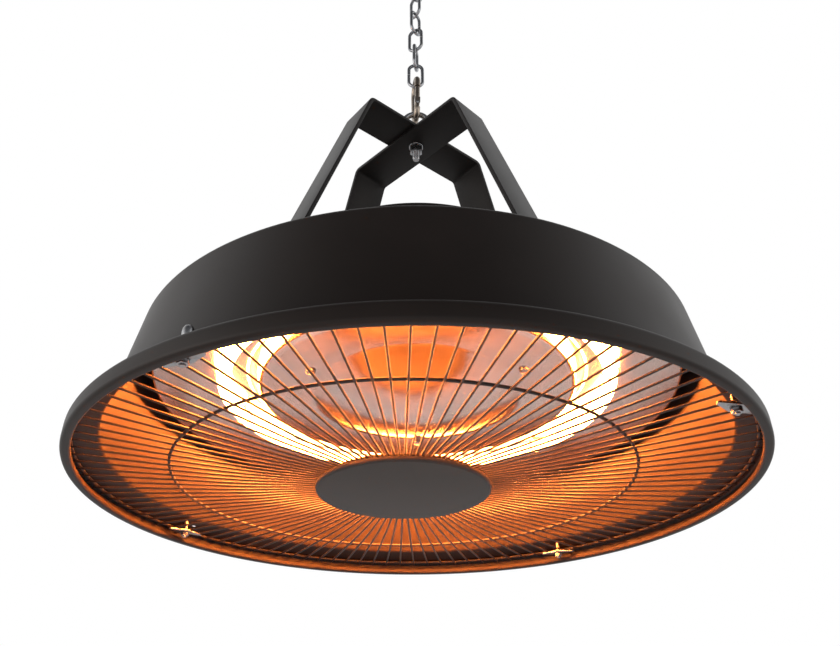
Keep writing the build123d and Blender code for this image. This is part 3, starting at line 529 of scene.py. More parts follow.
class NodeSheet:
    """The node tree of one material or of the world, and the one method that fills it."""

    def __init__(self, owner: bpy.types.Material | bpy.types.World) -> None:
        """Turns an owner's nodes on and clears them."""
        owner.use_nodes = True
        self.tree = owner.node_tree
        self.tree.nodes.clear()

    def node(
        self, kind: str, settings: dict[str, object] | None = None, inputs: object = None
    ) -> bpy.types.Node:
        """Adds a node.

        Args:
            kind: The node's type.
            settings: Its properties.
            inputs: The values or links of its sockets, by name or in order. Colours are opaque.

        Returns:
            The node.
        """
        made = self.tree.nodes.new(kind)
        for name, value in (settings or {}).items():
            setattr(made, name, value)
        pairs = inputs.items() if isinstance(inputs, dict) else enumerate(inputs or [])
        for name, value in pairs:
            socket = made.inputs[name]
            if isinstance(value, Signal):
                self.tree.links.new(value.socket, socket)
            elif socket.type == "RGBA":
                socket.default_value = (*value[:3], 1.0)
            else:
                socket.default_value = value
        return made

    def signal(
        self,
        kind: str,
        settings: dict[str, object] | None = None,
        inputs: object = None,
        output: int | str = 0,
    ) -> Signal:
        """Adds a node and gives one of its outputs."""
        return Signal(self, self.node(kind, settings, inputs).outputs[output])

    def place(self) -> Signal:
        """Gives the place on the object, in metres."""
        return self.signal("ShaderNodeTexCoord", output="Object")

    def noise(self, size: float, detail: float, place: Signal | None = None) -> Signal:
        """Gives a soft random value whose spots have a size in millimetres."""
        inputs = {"Vector": place or self.place(), "Scale": 1.0 / (size * MM), "Detail": detail}
        return self.signal("ShaderNodeTexNoise", inputs=inputs)

    def parts(self, place: Signal | None = None) -> list[Signal]:
        """Splits a place into its X, Y and Z."""
        node = self.node("ShaderNodeSeparateXYZ", inputs=[place or self.place()])
        return [Signal(self, output) for output in node.outputs]

    def stretched(self, factors: tuple[float, float, float]) -> Signal:
        """Gives the place with each axis multiplied, so that a pattern is longer one way."""
        return self.signal("ShaderNodeMapping", inputs={"Vector": self.place(), "Scale": factors})

    def blend(self, share: Signal, low: object, high: object) -> Signal:
        """Mixes two colours by a share."""
        node = self.node("ShaderNodeMix", {"data_type": "RGBA"}, {0: share, 6: low, 7: high})
        return Signal(self, node.outputs[2])

    def level(self, share: Signal, low: float, high: float) -> Signal:
        """Mixes two numbers by a share."""
        return share * (high - low) + low

    def bump(self, height: Signal, depth: float, below: Signal | None = None) -> Signal:
        """Turns a height from 0 to 1 into a bump whose depth is in millimetres."""
        inputs: dict[str, object] = {"Height": height, "Distance": depth * MM, "Strength": 1.0}
        if below:
            inputs["Normal"] = below
        return self.signal("ShaderNodeBump", inputs=inputs)

    def surface(self, **sockets: object) -> None:
        """Ends the tree in a Principled shader. An underscore stands for a space in a socket's name."""
        inputs = {name.replace("_", " "): value for name, value in sockets.items()}
        shader = self.signal("ShaderNodeBsdfPrincipled", inputs=inputs)
        self.node("ShaderNodeOutputMaterial", inputs=[shader])


def scaled(colour: Colour, factor: float) -> Colour:
    """Makes a colour lighter or darker."""
    red, green, blue = colour
    return (factor * red, factor * green, factor * blue)


@dataclass(frozen=True)
class Finish:
    """A finish on one or more pieces, made once and shared."""

    name: str

    def material(self) -> bpy.types.Material:
        """Gives the finish's material, and makes it the first time."""
        known = bpy.data.materials.get(self.name)
        if known is None:
            known = bpy.data.materials.new(self.name)
            self.fill(NodeSheet(known))
        return known

    def fill(self, sheet: NodeSheet) -> None:
        """Fills the material's nodes."""
        raise NotImplementedError


@dataclass(frozen=True)
class PowderCoat(Finish):
    """Powder paint with a fine orange peel, a little dust on its upper side and rubbed spots."""

    colour: Colour = (0.0155, 0.0113, 0.0098)
    dust: Colour = (0.055, 0.045, 0.04)
    peel: float = 1.1
    depth: float = 0.05
    roughness: float = 0.46
    specular: float = 0.24

    def fill(self, sheet: NodeSheet) -> None:
        """Fills the material's nodes."""
        peel = sheet.noise(self.peel, 2.0)
        cloud = sheet.noise(60.0, 4.0)
        fine = sheet.noise(0.35, 1.0)
        normal = sheet.signal("ShaderNodeTexCoord", output="Normal")
        upward = sheet.parts(normal)[2].over(0.55, 1.0)
        lying = upward * cloud.over(0.35, 0.75) * 0.5
        speck = sheet.noise(2.6, 1.0).over(0.72, 0.78) * 0.35
        shade = sheet.blend(cloud.over(0.3, 0.7), self.colour, scaled(self.colour, 1.25))
        coloured = sheet.blend(lying + speck * upward, shade, self.dust)
        rough = sheet.level(cloud, self.roughness - 0.05, self.roughness + 0.07) + lying * 0.25
        relief = sheet.bump(peel, self.depth, sheet.bump(fine, self.depth * 0.25))
        sheet.surface(Base_Color=coloured, Roughness=rough, Normal=relief, Specular_IOR_Level=self.specular)


@dataclass(frozen=True)
class Plating(Finish):
    """Bright plated or polished steel, with faint stains and drawn scratches."""

    colour: Colour = (0.40, 0.405, 0.42)
    stain: Colour = (0.28, 0.27, 0.26)
    roughness: float = 0.2
    scratch: tuple[float, float, float] = (1.0, 1.0, 0.08)

    def fill(self, sheet: NodeSheet) -> None:
        """Fills the material's nodes."""
        cloud = sheet.noise(7.0, 4.0)
        lines = sheet.noise(0.4, 2.0, sheet.stretched(self.scratch))
        coloured = sheet.blend(cloud.over(0.5, 0.8), self.colour, self.stain)
        rough = sheet.level(cloud, self.roughness - 0.05, self.roughness + 0.12) + lines * 0.06
        relief = sheet.bump(lines, 0.008)
        sheet.surface(Base_Color=coloured, Metallic=1.0, Roughness=rough, Normal=relief)


@dataclass(frozen=True)
class SpunMirror(Finish):
    """Polished aluminium with the fine circles that spinning and buffing leave."""

    colour: Colour = (0.88, 0.80, 0.75)
    roughness: float = 0.13

    def fill(self, sheet: NodeSheet) -> None:
        """Fills the material's nodes."""
        x, y, _ = sheet.parts()
        radius = (x**2.0 + y**2.0) ** 0.5
        inputs = {"W": radius, "Scale": 1400.0, "Detail": 3.0}
        rings = sheet.signal("ShaderNodeTexNoise", {"noise_dimensions": "1D"}, inputs)
        cloud = sheet.noise(35.0, 4.0)
        coloured = sheet.blend(cloud.over(0.35, 0.75), self.colour, scaled(self.colour, 0.86))
        rough = sheet.level(rings, self.roughness - 0.06, self.roughness + 0.08) + cloud * 0.05
        sheet.surface(Base_Color=coloured, Metallic=1.0, Roughness=rough, Normal=sheet.bump(rings, 0.012))


@dataclass(frozen=True)
class GlossWire(Finish):
    """Black enamelled wire that catches light along its sides."""

    colour: Colour = (0.004, 0.0035, 0.0035)
    roughness: float = 0.3
    specular: float = 0.14

    def fill(self, sheet: NodeSheet) -> None:
        """Fills the material's nodes."""
        cloud = sheet.noise(12.0, 3.0)
        relief = sheet.bump(sheet.noise(0.5, 2.0), 0.012)
        coloured = sheet.blend(cloud.over(0.4, 0.8), self.colour, scaled(self.colour, 2.0))
        rough = sheet.level(cloud, self.roughness - 0.06, self.roughness + 0.1)
        sheet.surface(Base_Color=coloured, Roughness=rough, Normal=relief, Specular_IOR_Level=self.specular)


@dataclass(frozen=True)
class Glow(Finish):
    """A hot lamp piece that shines by itself, cooler towards both ends of its ring."""

    colour: Colour = (1.0, 0.21, 0.028)
    paler: Colour = (1.0, 0.25, 0.04)
    ember: Colour = (0.012, 0.004, 0.001)
    strength: float = 330.0
    fade: float = 16.0
    cold_body: Colour = (0.30, 0.16, 0.10)
    hot_body: Colour = (0.9, 0.6, 0.4)

    def fill(self, sheet: NodeSheet) -> None:
        """Fills the material's nodes."""
        x, y, _ = sheet.parts()
        away = math.radians(LAMP_GAP_MIDDLE + 180)
        ahead = x * math.cos(away) + y * math.sin(away)
        aside = y * math.cos(away) - x * math.sin(away)
        along = aside.maths("ARCTAN2", ahead).maths("ABSOLUTE")
        end = math.pi - math.radians(LAMP_GAP / 2)
        hot = 1.0 - along.over(end - math.radians(self.fade), end - math.radians(2.0))
        flicker = sheet.noise(9.0, 2.0)
        tone = sheet.blend(flicker.over(0.3, 0.8), self.colour, self.paler)
        sheet.surface(
            Base_Color=sheet.blend(hot, self.cold_body, self.hot_body),
            Roughness=0.12 + flicker * 0.05,
            Emission_Color=sheet.blend(hot, self.ember, tone),
            Emission_Strength=self.strength,
        )


@dataclass(frozen=True)
class Mineral(Finish):
    """Dull moulded matter: ceramic, rubber or plastic, with a grain of its own size."""

    colour: Colour = (0.8, 0.78, 0.72)
    spots: Colour = (0.55, 0.5, 0.42)
    grain: float = 0.8
    depth: float = 0.03
    roughness: float = 0.6

    def fill(self, sheet: NodeSheet) -> None:
        """Fills the material's nodes."""
        cloud = sheet.noise(6.0, 4.0)
        grain = sheet.noise(self.grain, 2.0)
        coloured = sheet.blend(cloud.over(0.5, 0.85), self.colour, self.spots)
        rough = sheet.level(cloud, self.roughness - 0.08, self.roughness + 0.1)
        sheet.surface(Base_Color=coloured, Roughness=rough, Normal=sheet.bump(grain, self.depth))


@dataclass(frozen=True)
class Braid(Finish):
    """A woven glass sleeve on a lead, with its crossing threads."""

    colour: Colour = (0.72, 0.70, 0.64)
    dark: Colour = (0.38, 0.36, 0.32)

    def fill(self, sheet: NodeSheet) -> None:
        """Fills the material's nodes."""
        settings = {"wave_type": "BANDS", "bands_direction": "DIAGONAL"}
        one, other = (
            sheet.signal("ShaderNodeTexWave", settings, {"Vector": place, "Scale": 320.0}, "Fac")
            for place in (sheet.place(), sheet.stretched((-1.0, 1.0, 1.0)))
        )
        weave = one.maths("MAXIMUM", other)
        sheet.surface(
            Base_Color=sheet.blend(weave, self.dark, self.colour),
            Roughness=0.8 - weave * 0.15,
            Normal=sheet.bump(weave, 0.15),
        )


class Finishes:
    """All finishes of the heater, by what they are on."""

    shade = PowderCoat("shade_powder_coat")
    bracket = PowderCoat("bracket_powder_coat", colour=(0.013, 0.0112, 0.0105), peel=0.8)
    zinc = Plating("bright_zinc")
    chain = Plating("chain_zinc", colour=(0.36, 0.37, 0.39))
    hook = Plating("polished_hook_steel", colour=(0.34, 0.29, 0.24), stain=(0.20, 0.15, 0.11))
    reflector = SpunMirror("buffed_reflector")
    guard = GlossWire("guard_enamel")
    hub = PowderCoat("hub_powder_coat", colour=(0.042, 0.036, 0.033), peel=0.7, depth=0.03, roughness=0.5)
    lamp = Glow("glowing_lamp")
    ceramic = Mineral("steatite")
    spring = Plating("bare_spring_steel", colour=(0.56, 0.55, 0.54), roughness=0.3)
    plastic = Mineral("black_nylon", (0.02, 0.02, 0.02), (0.03, 0.03, 0.03), 0.5, 0.02, 0.45)
    rubber = Mineral("black_rubber", (0.025, 0.025, 0.025), (0.04, 0.04, 0.04), 0.6, 0.03, 0.75)
    sleeve = Braid("woven_sleeve")


@dataclass
class Assembly:
    """A sub-assembly that makes its pieces on the bench and hangs them on the frame."""

    bench: Bench

    def seat(
        self, piece: Piece, body: str, slot: str, finish: Finish, *nodes: str, angle: float = 32.0
    ) -> None:
        """Finishes a piece: its smoothing, its material, its body and the nodes it stands for.

        Args:
            piece: The modelled piece.
            body: The body it rides on.
            slot: Not used.
            finish: Its finish.
            nodes: The CAD nodes that it replaces.
            angle: The angle up to which its edges look smooth, in degrees.
        """
        self.bench.settle(piece, angle)
        piece.data.materials.clear()
        piece.data.materials.append(finish.material())
        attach(piece, body)
        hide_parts(*nodes)
        LOG.info("%s: %d faces on %s", piece.name, len(piece.data.polygons), body)

    def plated(self, piece: Piece, body: str, node: str) -> None:
        """Finishes a zinc-plated piece that stands for one node."""
        self.seat(piece, body, "zinc", Finishes.zinc, node)

    def fitted(self, piece: Piece, name: str, places: Iterable[Matrix], node: str) -> None:
        """Copies a zinc-plated piece to its places on the heater, and finishes them as one."""
        self.plated(self.bench.everywhere(piece, name, places), "heater", node)


@dataclass
class Suspension(Assembly):
    """The ceiling eye, the chain, the snap hook and the eye bolt."""

    link_pitch: float = 32.35
    link_first: float = -51.05
    link_wire: float = 4.0
    link_inner_width: float = 12.2
    link_inner_length: float = 32.6
    link_twist: float = 77.5
    link_count: int = 6
    seam: float = 0.6
    seam_taper: float = 0.82
    eye_z: float = -24.0
    eye_ring: float = 14.0
    eye_wire: float = 6.0
    eye_azimuth: float = 105.0
    hook_top: float = -228.85
    hook_length: float = 52.0
    hook_wire: float = 7.0
    hook_top_bend: float = 13.0
    hook_bottom_bend: float = 9.5
    hook_azimuth: float = 99.0
    hook_nose: float = 5.0
    hook_tang: float = 6.0
    tang_thick: float = 3.0
    tang_overlap: float = 0.4
    gate_wire: float = 6.0
    gate_play: float = 0.4
    gate_foot: float = 4.2
    slot_play: float = 0.3
    bolt_z: float = -291.1
    bolt_ring: float = 13.75
    bolt_wire: float = 6.5
    strap_top: float = -320.1
    strap_under: float = -328.1
    bolt_end: float = -348.1
    collar_radius: float = 9.5
    collar_thick: float = 5.0
    bolt_radius: float = 4.0
    thread_pitch: float = 1.25
    thread_depth: float = 0.6
    washer_radius: float = 8.0
    washer_thick: float = 1.6
    nut_across: float = 13.0
    nut_thick: float = 6.8

    def ring(self, name: str, z: float, radius: float, wire: float, azimuth: float) -> Piece:
        """Makes a round eye that hangs in the upright plane at an azimuth."""
        piece = self.bench.torus(name, radius, wire, (72, 24), turned=(math.pi / 2, 0.0, 0.0))
        piece.data.transform(upright(azimuth, UP * z))
        return piece

    def ceiling_eye(self) -> None:
        """Makes the ring under the ceiling plate, on its shank with a small shoulder."""
        piece = self.ring("ceiling_ring", self.eye_z, self.eye_ring, self.eye_wire, self.eye_azimuth)
        top = self.eye_z + self.eye_ring
        shank = self.bench.lathe(
            "ceiling_shank",
            [(0.0, top), (3.9, top), (4.0, -4.8), (6.2, -4.2), (6.2, -3.95), (0.0, -3.95)],
            steps=40,
        )
        self.bench.work(piece, shank, Trim.ADD)
        self.plated(piece, "ceiling_fitting", "ceiling_eye")

    def link(self) -> Piece:
        """Makes one link at the origin: a torus pulled long, with the butt seam of its bent wire."""
        bench = self.bench
        side = (self.link_inner_width + self.link_wire) / 2
        stretch = (self.link_inner_length + self.link_wire) / 2 - side
        segments = 48
        turned = (math.pi / 2, math.pi / segments, 0.0)
        piece = bench.torus("link_master", side, self.link_wire, (segments, 16), turned=turned)
        bench.edit(piece)
        for way in (1, -1):
            bench.pick(Part.VERTS, lambda co: co.z * way > 0)
            bpy.ops.transform.translate(value=(0.0, 0.0, way * stretch * MM))
        for height in (self.seam * 1.2, self.seam / 2, -self.seam / 2, -self.seam * 1.2):
            bench.pick(Part.FACES, lambda co: co.x < 0 and abs(co.z) < stretch * MM)
            bpy.ops.mesh.bisect(plane_co=(0.0, 0.0, height * MM), plane_no=(0.0, 0.0, 1.0))
        bench.pick(Part.FACES, lambda co: co.x < 0 and abs(co.z) < self.seam * 0.4 * MM)
        bpy.ops.mesh.delete(type="FACE")
        bench.close(piece)
        bench.edit(piece)
        middle = Vector((-side * MM, 0.0, 0.0))
        for way in (1, -1):
            level = way * self.seam / 2 * MM
            bench.pick(Part.VERTS, lambda co: co.x < 0 and abs(co.z - level) < 0.02 * MM)
            bpy.ops.transform.resize(value=(self.seam_taper, self.seam_taper, 1.0), center_override=middle)
        bpy.ops.object.mode_set(mode="OBJECT")
        return piece

    def chain(self) -> None:
        """Hangs six copies of the link, each turned a little short of square to the last."""
        master = self.link()
        for number in range(1, self.link_count + 1):
            azimuth = (self.link_count - number) * self.link_twist
            centre = UP * (self.link_first - (number - 1) * self.link_pitch)
            piece = self.bench.copy(master, f"chain_wire_{number}", upright(azimuth, centre))
            self.seat(piece, f"link_{number}", "zinc", Finishes.chain, f"chain_link_{number}")
        bpy.data.objects.remove(master)

    def hook(self) -> None:
        """Bends the snap hook's wire, lays its flat tang into it, and makes the gate from tang to nose."""
        bench = self.bench
        plane = upright(self.hook_azimuth, ORIGIN)
        top = self.hook_top + self.hook_wire / 2 - self.hook_top_bend
        bottom = self.hook_top - self.hook_length - self.hook_wire / 2 + self.hook_bottom_bend
        lean = math.asin((self.hook_bottom_bend - self.hook_top_bend) / (top - bottom))
        start = (-self.hook_bottom_bend * math.cos(lean), bottom + self.hook_bottom_bend * math.sin(lean))
        slope = -math.degrees(lean)
        spine = (top - bottom) * math.cos(lean)
        moves = [
            Bend(self.hook_bottom_bend, 180 - 2 * slope),
            Run(spine),
            Bend(self.hook_top_bend, 180 + 2 * slope),
            Run(self.hook_nose),
        ]
        body = bench.wire("hook_wire", start, -90 + slope, moves, self.hook_wire / 2, plane, 24)
        gate_way = Vector((math.sin(lean), 0.0, math.cos(lean)))
        base = Vector((start[0], 0.0, start[1]))
        pivot = base + gate_way * self.hook_tang
        across, over = self.hook_top_bend * math.cos(lean), self.hook_top_bend * math.sin(lean)
        nose = Vector((-across, 0.0, top + over)) - gate_way * self.hook_nose
        flat = self.tang_thick
        tang = bench.prism("hook_tang", self.hook_wire / 2, flat, 40, -flat / 2)
        tang.data.transform(plane @ Matrix.Translation(pivot * MM) @ LAID)
        neck = bench.block("hook_neck", self.hook_wire, flat)
        middle = (base + pivot) / 2
        stretch = (self.hook_tang + self.tang_overlap) / self.hook_wire
        neck.data.transform(Matrix.Diagonal((1.0, stretch, 1.0, 1.0)))
        neck.data.transform(plane @ Matrix.Translation(middle * MM) @ Matrix.Rotation(lean, 4, "Y") @ LAID)
        bench.work(tang, neck, Trim.ADD)
        bench.soften(tang, 0.4)
        body = bench.join([body, tang], "hook_wire")
        self.seat(body, "hook", "hook_steel", Finishes.hook, "snap_hook_body")
        self.gate(plane, pivot, nose, gate_way)

    def gate(self, plane: Matrix, pivot: Vector, nose: Vector, way: Vector) -> None:
        """Makes the gate: a turned rod with a forked foot.

        Args:
            plane: The hook's plane.
            pivot: The pin's place in it, in millimetres.
            nose: The end of the hook's nose.
            way: The unit vector from pivot to nose.
        """
        bench = self.bench
        reach = (nose - pivot).length - self.gate_play
        radius = self.gate_wire / 2
        turn = plane @ Matrix.Translation(pivot * MM) @ way.to_track_quat("Z", "Y").to_matrix().to_4x4()
        line = [
            (0.0, self.gate_foot), (radius, self.gate_foot), (radius, reach - 1.2),
            (radius - 0.5, reach - 0.25), (radius - 1.1, reach), (0.0, reach),
        ]
        rod = bench.lathe("gate_rod", line, steps=36)
        ear = bench.prism("gate_ear", radius, self.hook_wire, 40, -self.hook_wire / 2)
        ear.data.transform(LAID)
        cheek = bench.block("gate_cheek", self.gate_wire, self.hook_wire)
        cheek.data.transform(LAID)
        cheek.data.transform(Matrix.Diagonal((1.0, 1.0, self.hook_wire / self.gate_wire, 1.0)))
        cheek.data.transform(Matrix.Translation((0.0, 0.0, self.hook_wire / 2 * MM)))
        bench.work(ear, cheek, Trim.ADD)
        gape = self.tang_thick + 2 * self.slot_play
        slot = bench.prism("gate_slot", self.hook_wire / 2 + self.slot_play, gape, 40, -gape / 2)
        slot.data.transform(LAID)
        bench.work(ear, slot, Trim.CUT)
        bench.work(ear, rod, Trim.ADD)
        ear.data.transform(turn)
        ear.name = "gate_fork"
        self.seat(ear, "gate", "hook_steel", Finishes.hook, "snap_hook_gate")
        pin = bench.lathe(
            "gate_rivet",
            [(0.0, -3.9), (1.0, -3.9), (1.9, -3.55), (1.9, -3.5), (1.29, -3.5), (1.29, 3.5), (1.9, 3.5),
             (1.9, 3.55), (1.0, 3.9), (0.0, 3.9)],
            steps=28,
        )
        pin.data.transform(turn @ LAID)
        self.seat(pin, "gate", "hook_steel", Finishes.zinc, "gate_pin")

    def eye_bolt(self) -> None:
        """Makes the forged eye bolt with its collar and thread, and the washer and nut below the straps."""
        bench = self.bench
        piece = self.ring("bolt_eye", self.bolt_z, self.bolt_ring, self.bolt_wire, 0.0)
        crown = self.bolt_z - self.bolt_ring
        collar = self.strap_top + self.collar_thick
        line = [
            (0.0, crown), (self.bolt_radius, crown), (self.bolt_radius + 0.2, collar + 2.2),
            (self.bolt_radius + 1.6, collar + 0.6), (self.collar_radius - 0.8, collar),
            (self.collar_radius, collar - 0.8), (self.collar_radius, self.strap_top + 0.4),
            (self.collar_radius - 0.4, self.strap_top), (self.bolt_radius, self.strap_top),
            (self.bolt_radius, self.strap_under - 1.0),
        ]
        line += self.thread(self.strap_under - 1.0, self.bolt_end + 1.0)
        line += [(self.bolt_radius - 1.0, self.bolt_end), (0.0, self.bolt_end)]
        shank = bench.lathe("bolt_shank", line, steps=48)
        bench.work(piece, shank, Trim.ADD)
        self.plated(piece, "heater", "eye_bolt")
        under = self.strap_under
        low = under - self.washer_thick
        bore, radius = self.bolt_radius + 0.25, self.washer_radius
        line = [
            (bore, under), (radius - 0.3, under), (radius, under - 0.3), (radius, low + 0.3),
            (radius - 0.3, low), (bore, low),
        ]
        self.plated(bench.lathe("bolt_disc", line, steps=56, ring=True), "heater", "bolt_washer")
        nut = bench.hexagon("bolt_hexagon", self.nut_across, self.nut_thick, self.bolt_radius)
        nut.data.transform(Matrix.Translation(UP * (low - self.nut_thick) * MM))
        self.plated(nut, "heater", "bolt_nut")

    def thread(self, high: float, low: float) -> list[tuple[float, float]]:
        """Gives the outline of a thread's ridges from one height down to another."""
        pitch = self.thread_pitch
        crest = self.bolt_radius - 0.02
        root = crest - self.thread_depth
        line: list[tuple[float, float]] = []
        for number in range(int((high - low) / pitch)):
            level = high - number * pitch
            line += [
                (root, level - pitch * 0.45), (root, level - pitch * 0.6),
                (crest, level - pitch * 0.95), (crest, level - pitch),
            ]
        return line

    def build(self) -> None:
        """Makes every piece from the ceiling to the bracket."""
        self.ceiling_eye()
        self.chain()
        self.hook()
        self.eye_bolt()


@dataclass
class Bracket(Assembly):
    """Two flat straps that cross at the bolt, with their feet on the roof."""

    width: float = 43.0
    thick: float = 4.0
    fold: float = 76.0
    splay: float = 18.5
    bend: float = 5.0
    foot: float = 30.0
    nut_drop: float = 8.08
    tail: float = 3.0
    roof_slope: float = 36.0
    roof_at_axis: float = 286.22
    heights: tuple[float, float] = (400.0, 404.0)
    azimuths: tuple[float, float] = (-45.3, 39.6)

    def knee(self, under: float) -> tuple[float, float]:
        """Gives the radius and height of the bend above a foot, for a strap at a height over the rim."""
        rise = math.tan(math.radians(self.roof_slope))
        splay = math.tan(math.radians(self.splay))
        middle = under + self.thick / 2
        seat = self.roof_at_axis + (SHEET + self.thick) / 2 / math.cos(math.radians(self.roof_slope))
        radius = (self.fold + (middle - seat) * splay) / (1 - rise * splay)
        return radius, seat - radius * rise

    def along_foot(self, under: float, length: float) -> tuple[float, float]:
        """Gives the point on a foot at a length below its bend."""
        radius, height = self.knee(under)
        slope = math.radians(self.roof_slope)
        return radius + math.cos(slope) * length, height - math.sin(slope) * length

    def strap(self, name: str, azimuth: float, under: float) -> Piece:
        """Folds one strap from flat bar and rounds its edges."""
        bench = self.bench
        middle = under + self.thick / 2
        half = [(self.fold, middle), self.knee(under), self.along_foot(under, self.foot)]
        line = [(-x, z) for x, z in reversed(half)] + half
        piece = bench.polyline(name, line, ORIGIN, dict.fromkeys((4, 3, 2, 1), self.bend), 6)
        bpy.ops.mesh.extrude_region_move(TRANSFORM_OT_translate={"value": (0.0, self.width * MM, 0.0)})
        bpy.ops.mesh.select_all(action="SELECT")
        bpy.ops.transform.translate(value=(0.0, -self.width / 2 * MM, 0.0))
        bpy.ops.mesh.normals_make_consistent(inside=False)
        bpy.ops.object.mode_set(mode="OBJECT")
        bench.modify(piece, "SOLIDIFY", thickness=self.thick * MM, offset=0.0, use_even_offset=True)
        bench.soften(piece, 0.55, 3, 50.0)
        piece.data.transform(upright(azimuth, UP * RIM))
        return piece

    def build(self) -> None:
        """Makes both straps and the screws and nuts of their feet."""
        bench = self.bench
        feet = []
        tilt = Matrix.Rotation(math.radians(self.roof_slope), 4, "Y")
        for name, azimuth, under in zip(("strap_lower", "strap_upper"), self.azimuths, self.heights):
            piece = self.strap(f"{name}_bar", azimuth, under)
            self.seat(piece, "heater", "bracket_paint", Finishes.bracket, name, angle=40.0)
            radius, height = self.along_foot(under, self.foot / 2)
            place = Matrix.Translation((radius * MM, 0, height * MM)) @ tilt
            feet += [upright(side, UP * RIM) @ place for side in (azimuth, azimuth + 180)]
        head = bench.lathe(
            "foot_head",
            [(0.0, 2.0), (5.1, 2.0), (5.5, 2.5), (5.5, 3.2), (4.6, 4.8), (3.0, 5.45), (0.0, 5.6)],
            bends={4: 2.0}, steps=40,
        )
        bench.work(head, bench.prism("foot_socket", 2.3, 3.0, 6, 3.6), Trim.CUT)
        self.fitted(head, "foot_screw_heads", feet, "foot_screws")
        nut = bench.hexagon("foot_hexagon", 10.0, 5.0, 0.0)
        nut.data.transform(Matrix.Translation(UP * -self.nut_drop * MM))
        tail = bench.prism("foot_tail", 2.95, self.tail, 32, -self.nut_drop - self.tail)
        bench.soften(tail, 0.5)
        bench.work(nut, tail, Trim.ADD)
        self.fitted(nut, "foot_hexagons", feet, "foot_nuts")


@dataclass
class Shade(Assembly):
    """The spun shade and the crown on its deck."""

    rim_radius: float = 280.0
    lip: float = 13.5
    hem: float = 7.5
    upstand: float = 4.5
    wall_bottom: tuple[float, float] = (256.7, 20.6)
    shoulder: tuple[float, float] = (240.33, 111.6)
    deck_radius: float = 135.0
    crown_radius: float = 133.1
    crown_rise: float = 18.7
    crown_flange: float = 12.0
    slot_turns: tuple[float, ...] = (1.9, -2.8, 1.9, 1.7)
    slot_width: float = 3.0
    slot_out: float = 3.0

    def slots(self, shade: Piece) -> None:
        """Cuts a small slot in the shade's flange beside each clip."""
        bench = self.bench
        for azimuth, turn in zip(CLIP_AZIMUTHS, self.slot_turns):
            cutter = bench.prism("slot_cutter", self.slot_width / 2, 22.0, 24)
            bench.edit(cutter)
            for way in (1, -1):
                bench.pick(Part.VERTS, lambda co: co.x * way > 0)
                bpy.ops.transform.translate(value=(way * MM, 0.0, 0.0))
            bpy.ops.object.mode_set(mode="OBJECT")
            middle = spot(azimuth + turn, CLIP_CIRCLE + self.slot_out, RIM + 6.0)
            cutter.data.transform(upright(azimuth + turn + 90, middle))
            bench.work(shade, cutter, Trim.CUT)

    def build(self) -> None:
        """Spins the shade and the crown."""
        edge = self.rim_radius - self.hem + SHEET / 2
        outer = self.rim_radius - SHEET / 2
        line = [
            (edge, self.upstand), (edge, SHEET / 2), (outer, SHEET / 2), (outer, self.lip),
            self.wall_bottom, self.shoulder, (self.deck_radius, DECK), (0.0, DECK),
        ]
        bends = {6: 6.0, 5: 5.0, 4: 3.0, 3: 4.0, 2: 2.4, 1: 1.5}
        shade = self.bench.lathe("shade_shell", line, UP * RIM, bends, 192, 7, SHEET)
        self.slots(shade)
        self.seat(shade, "heater", "shade_paint", Finishes.shade, "shade", angle=25.0)
        wall = self.crown_radius - SHEET / 2
        foot = DECK + SHEET
        top = DECK + self.crown_rise
        line = [(0.0, top), (wall, top), (wall, foot), (wall - self.crown_flange, foot)]
        crown = self.bench.lathe("crown_shell", line, UP * RIM, {2: 1.5, 1: 2.5}, 160, 6, SHEET)
        self.seat(crown, "heater", "shade_paint", Finishes.shade, "crown", angle=25.0)


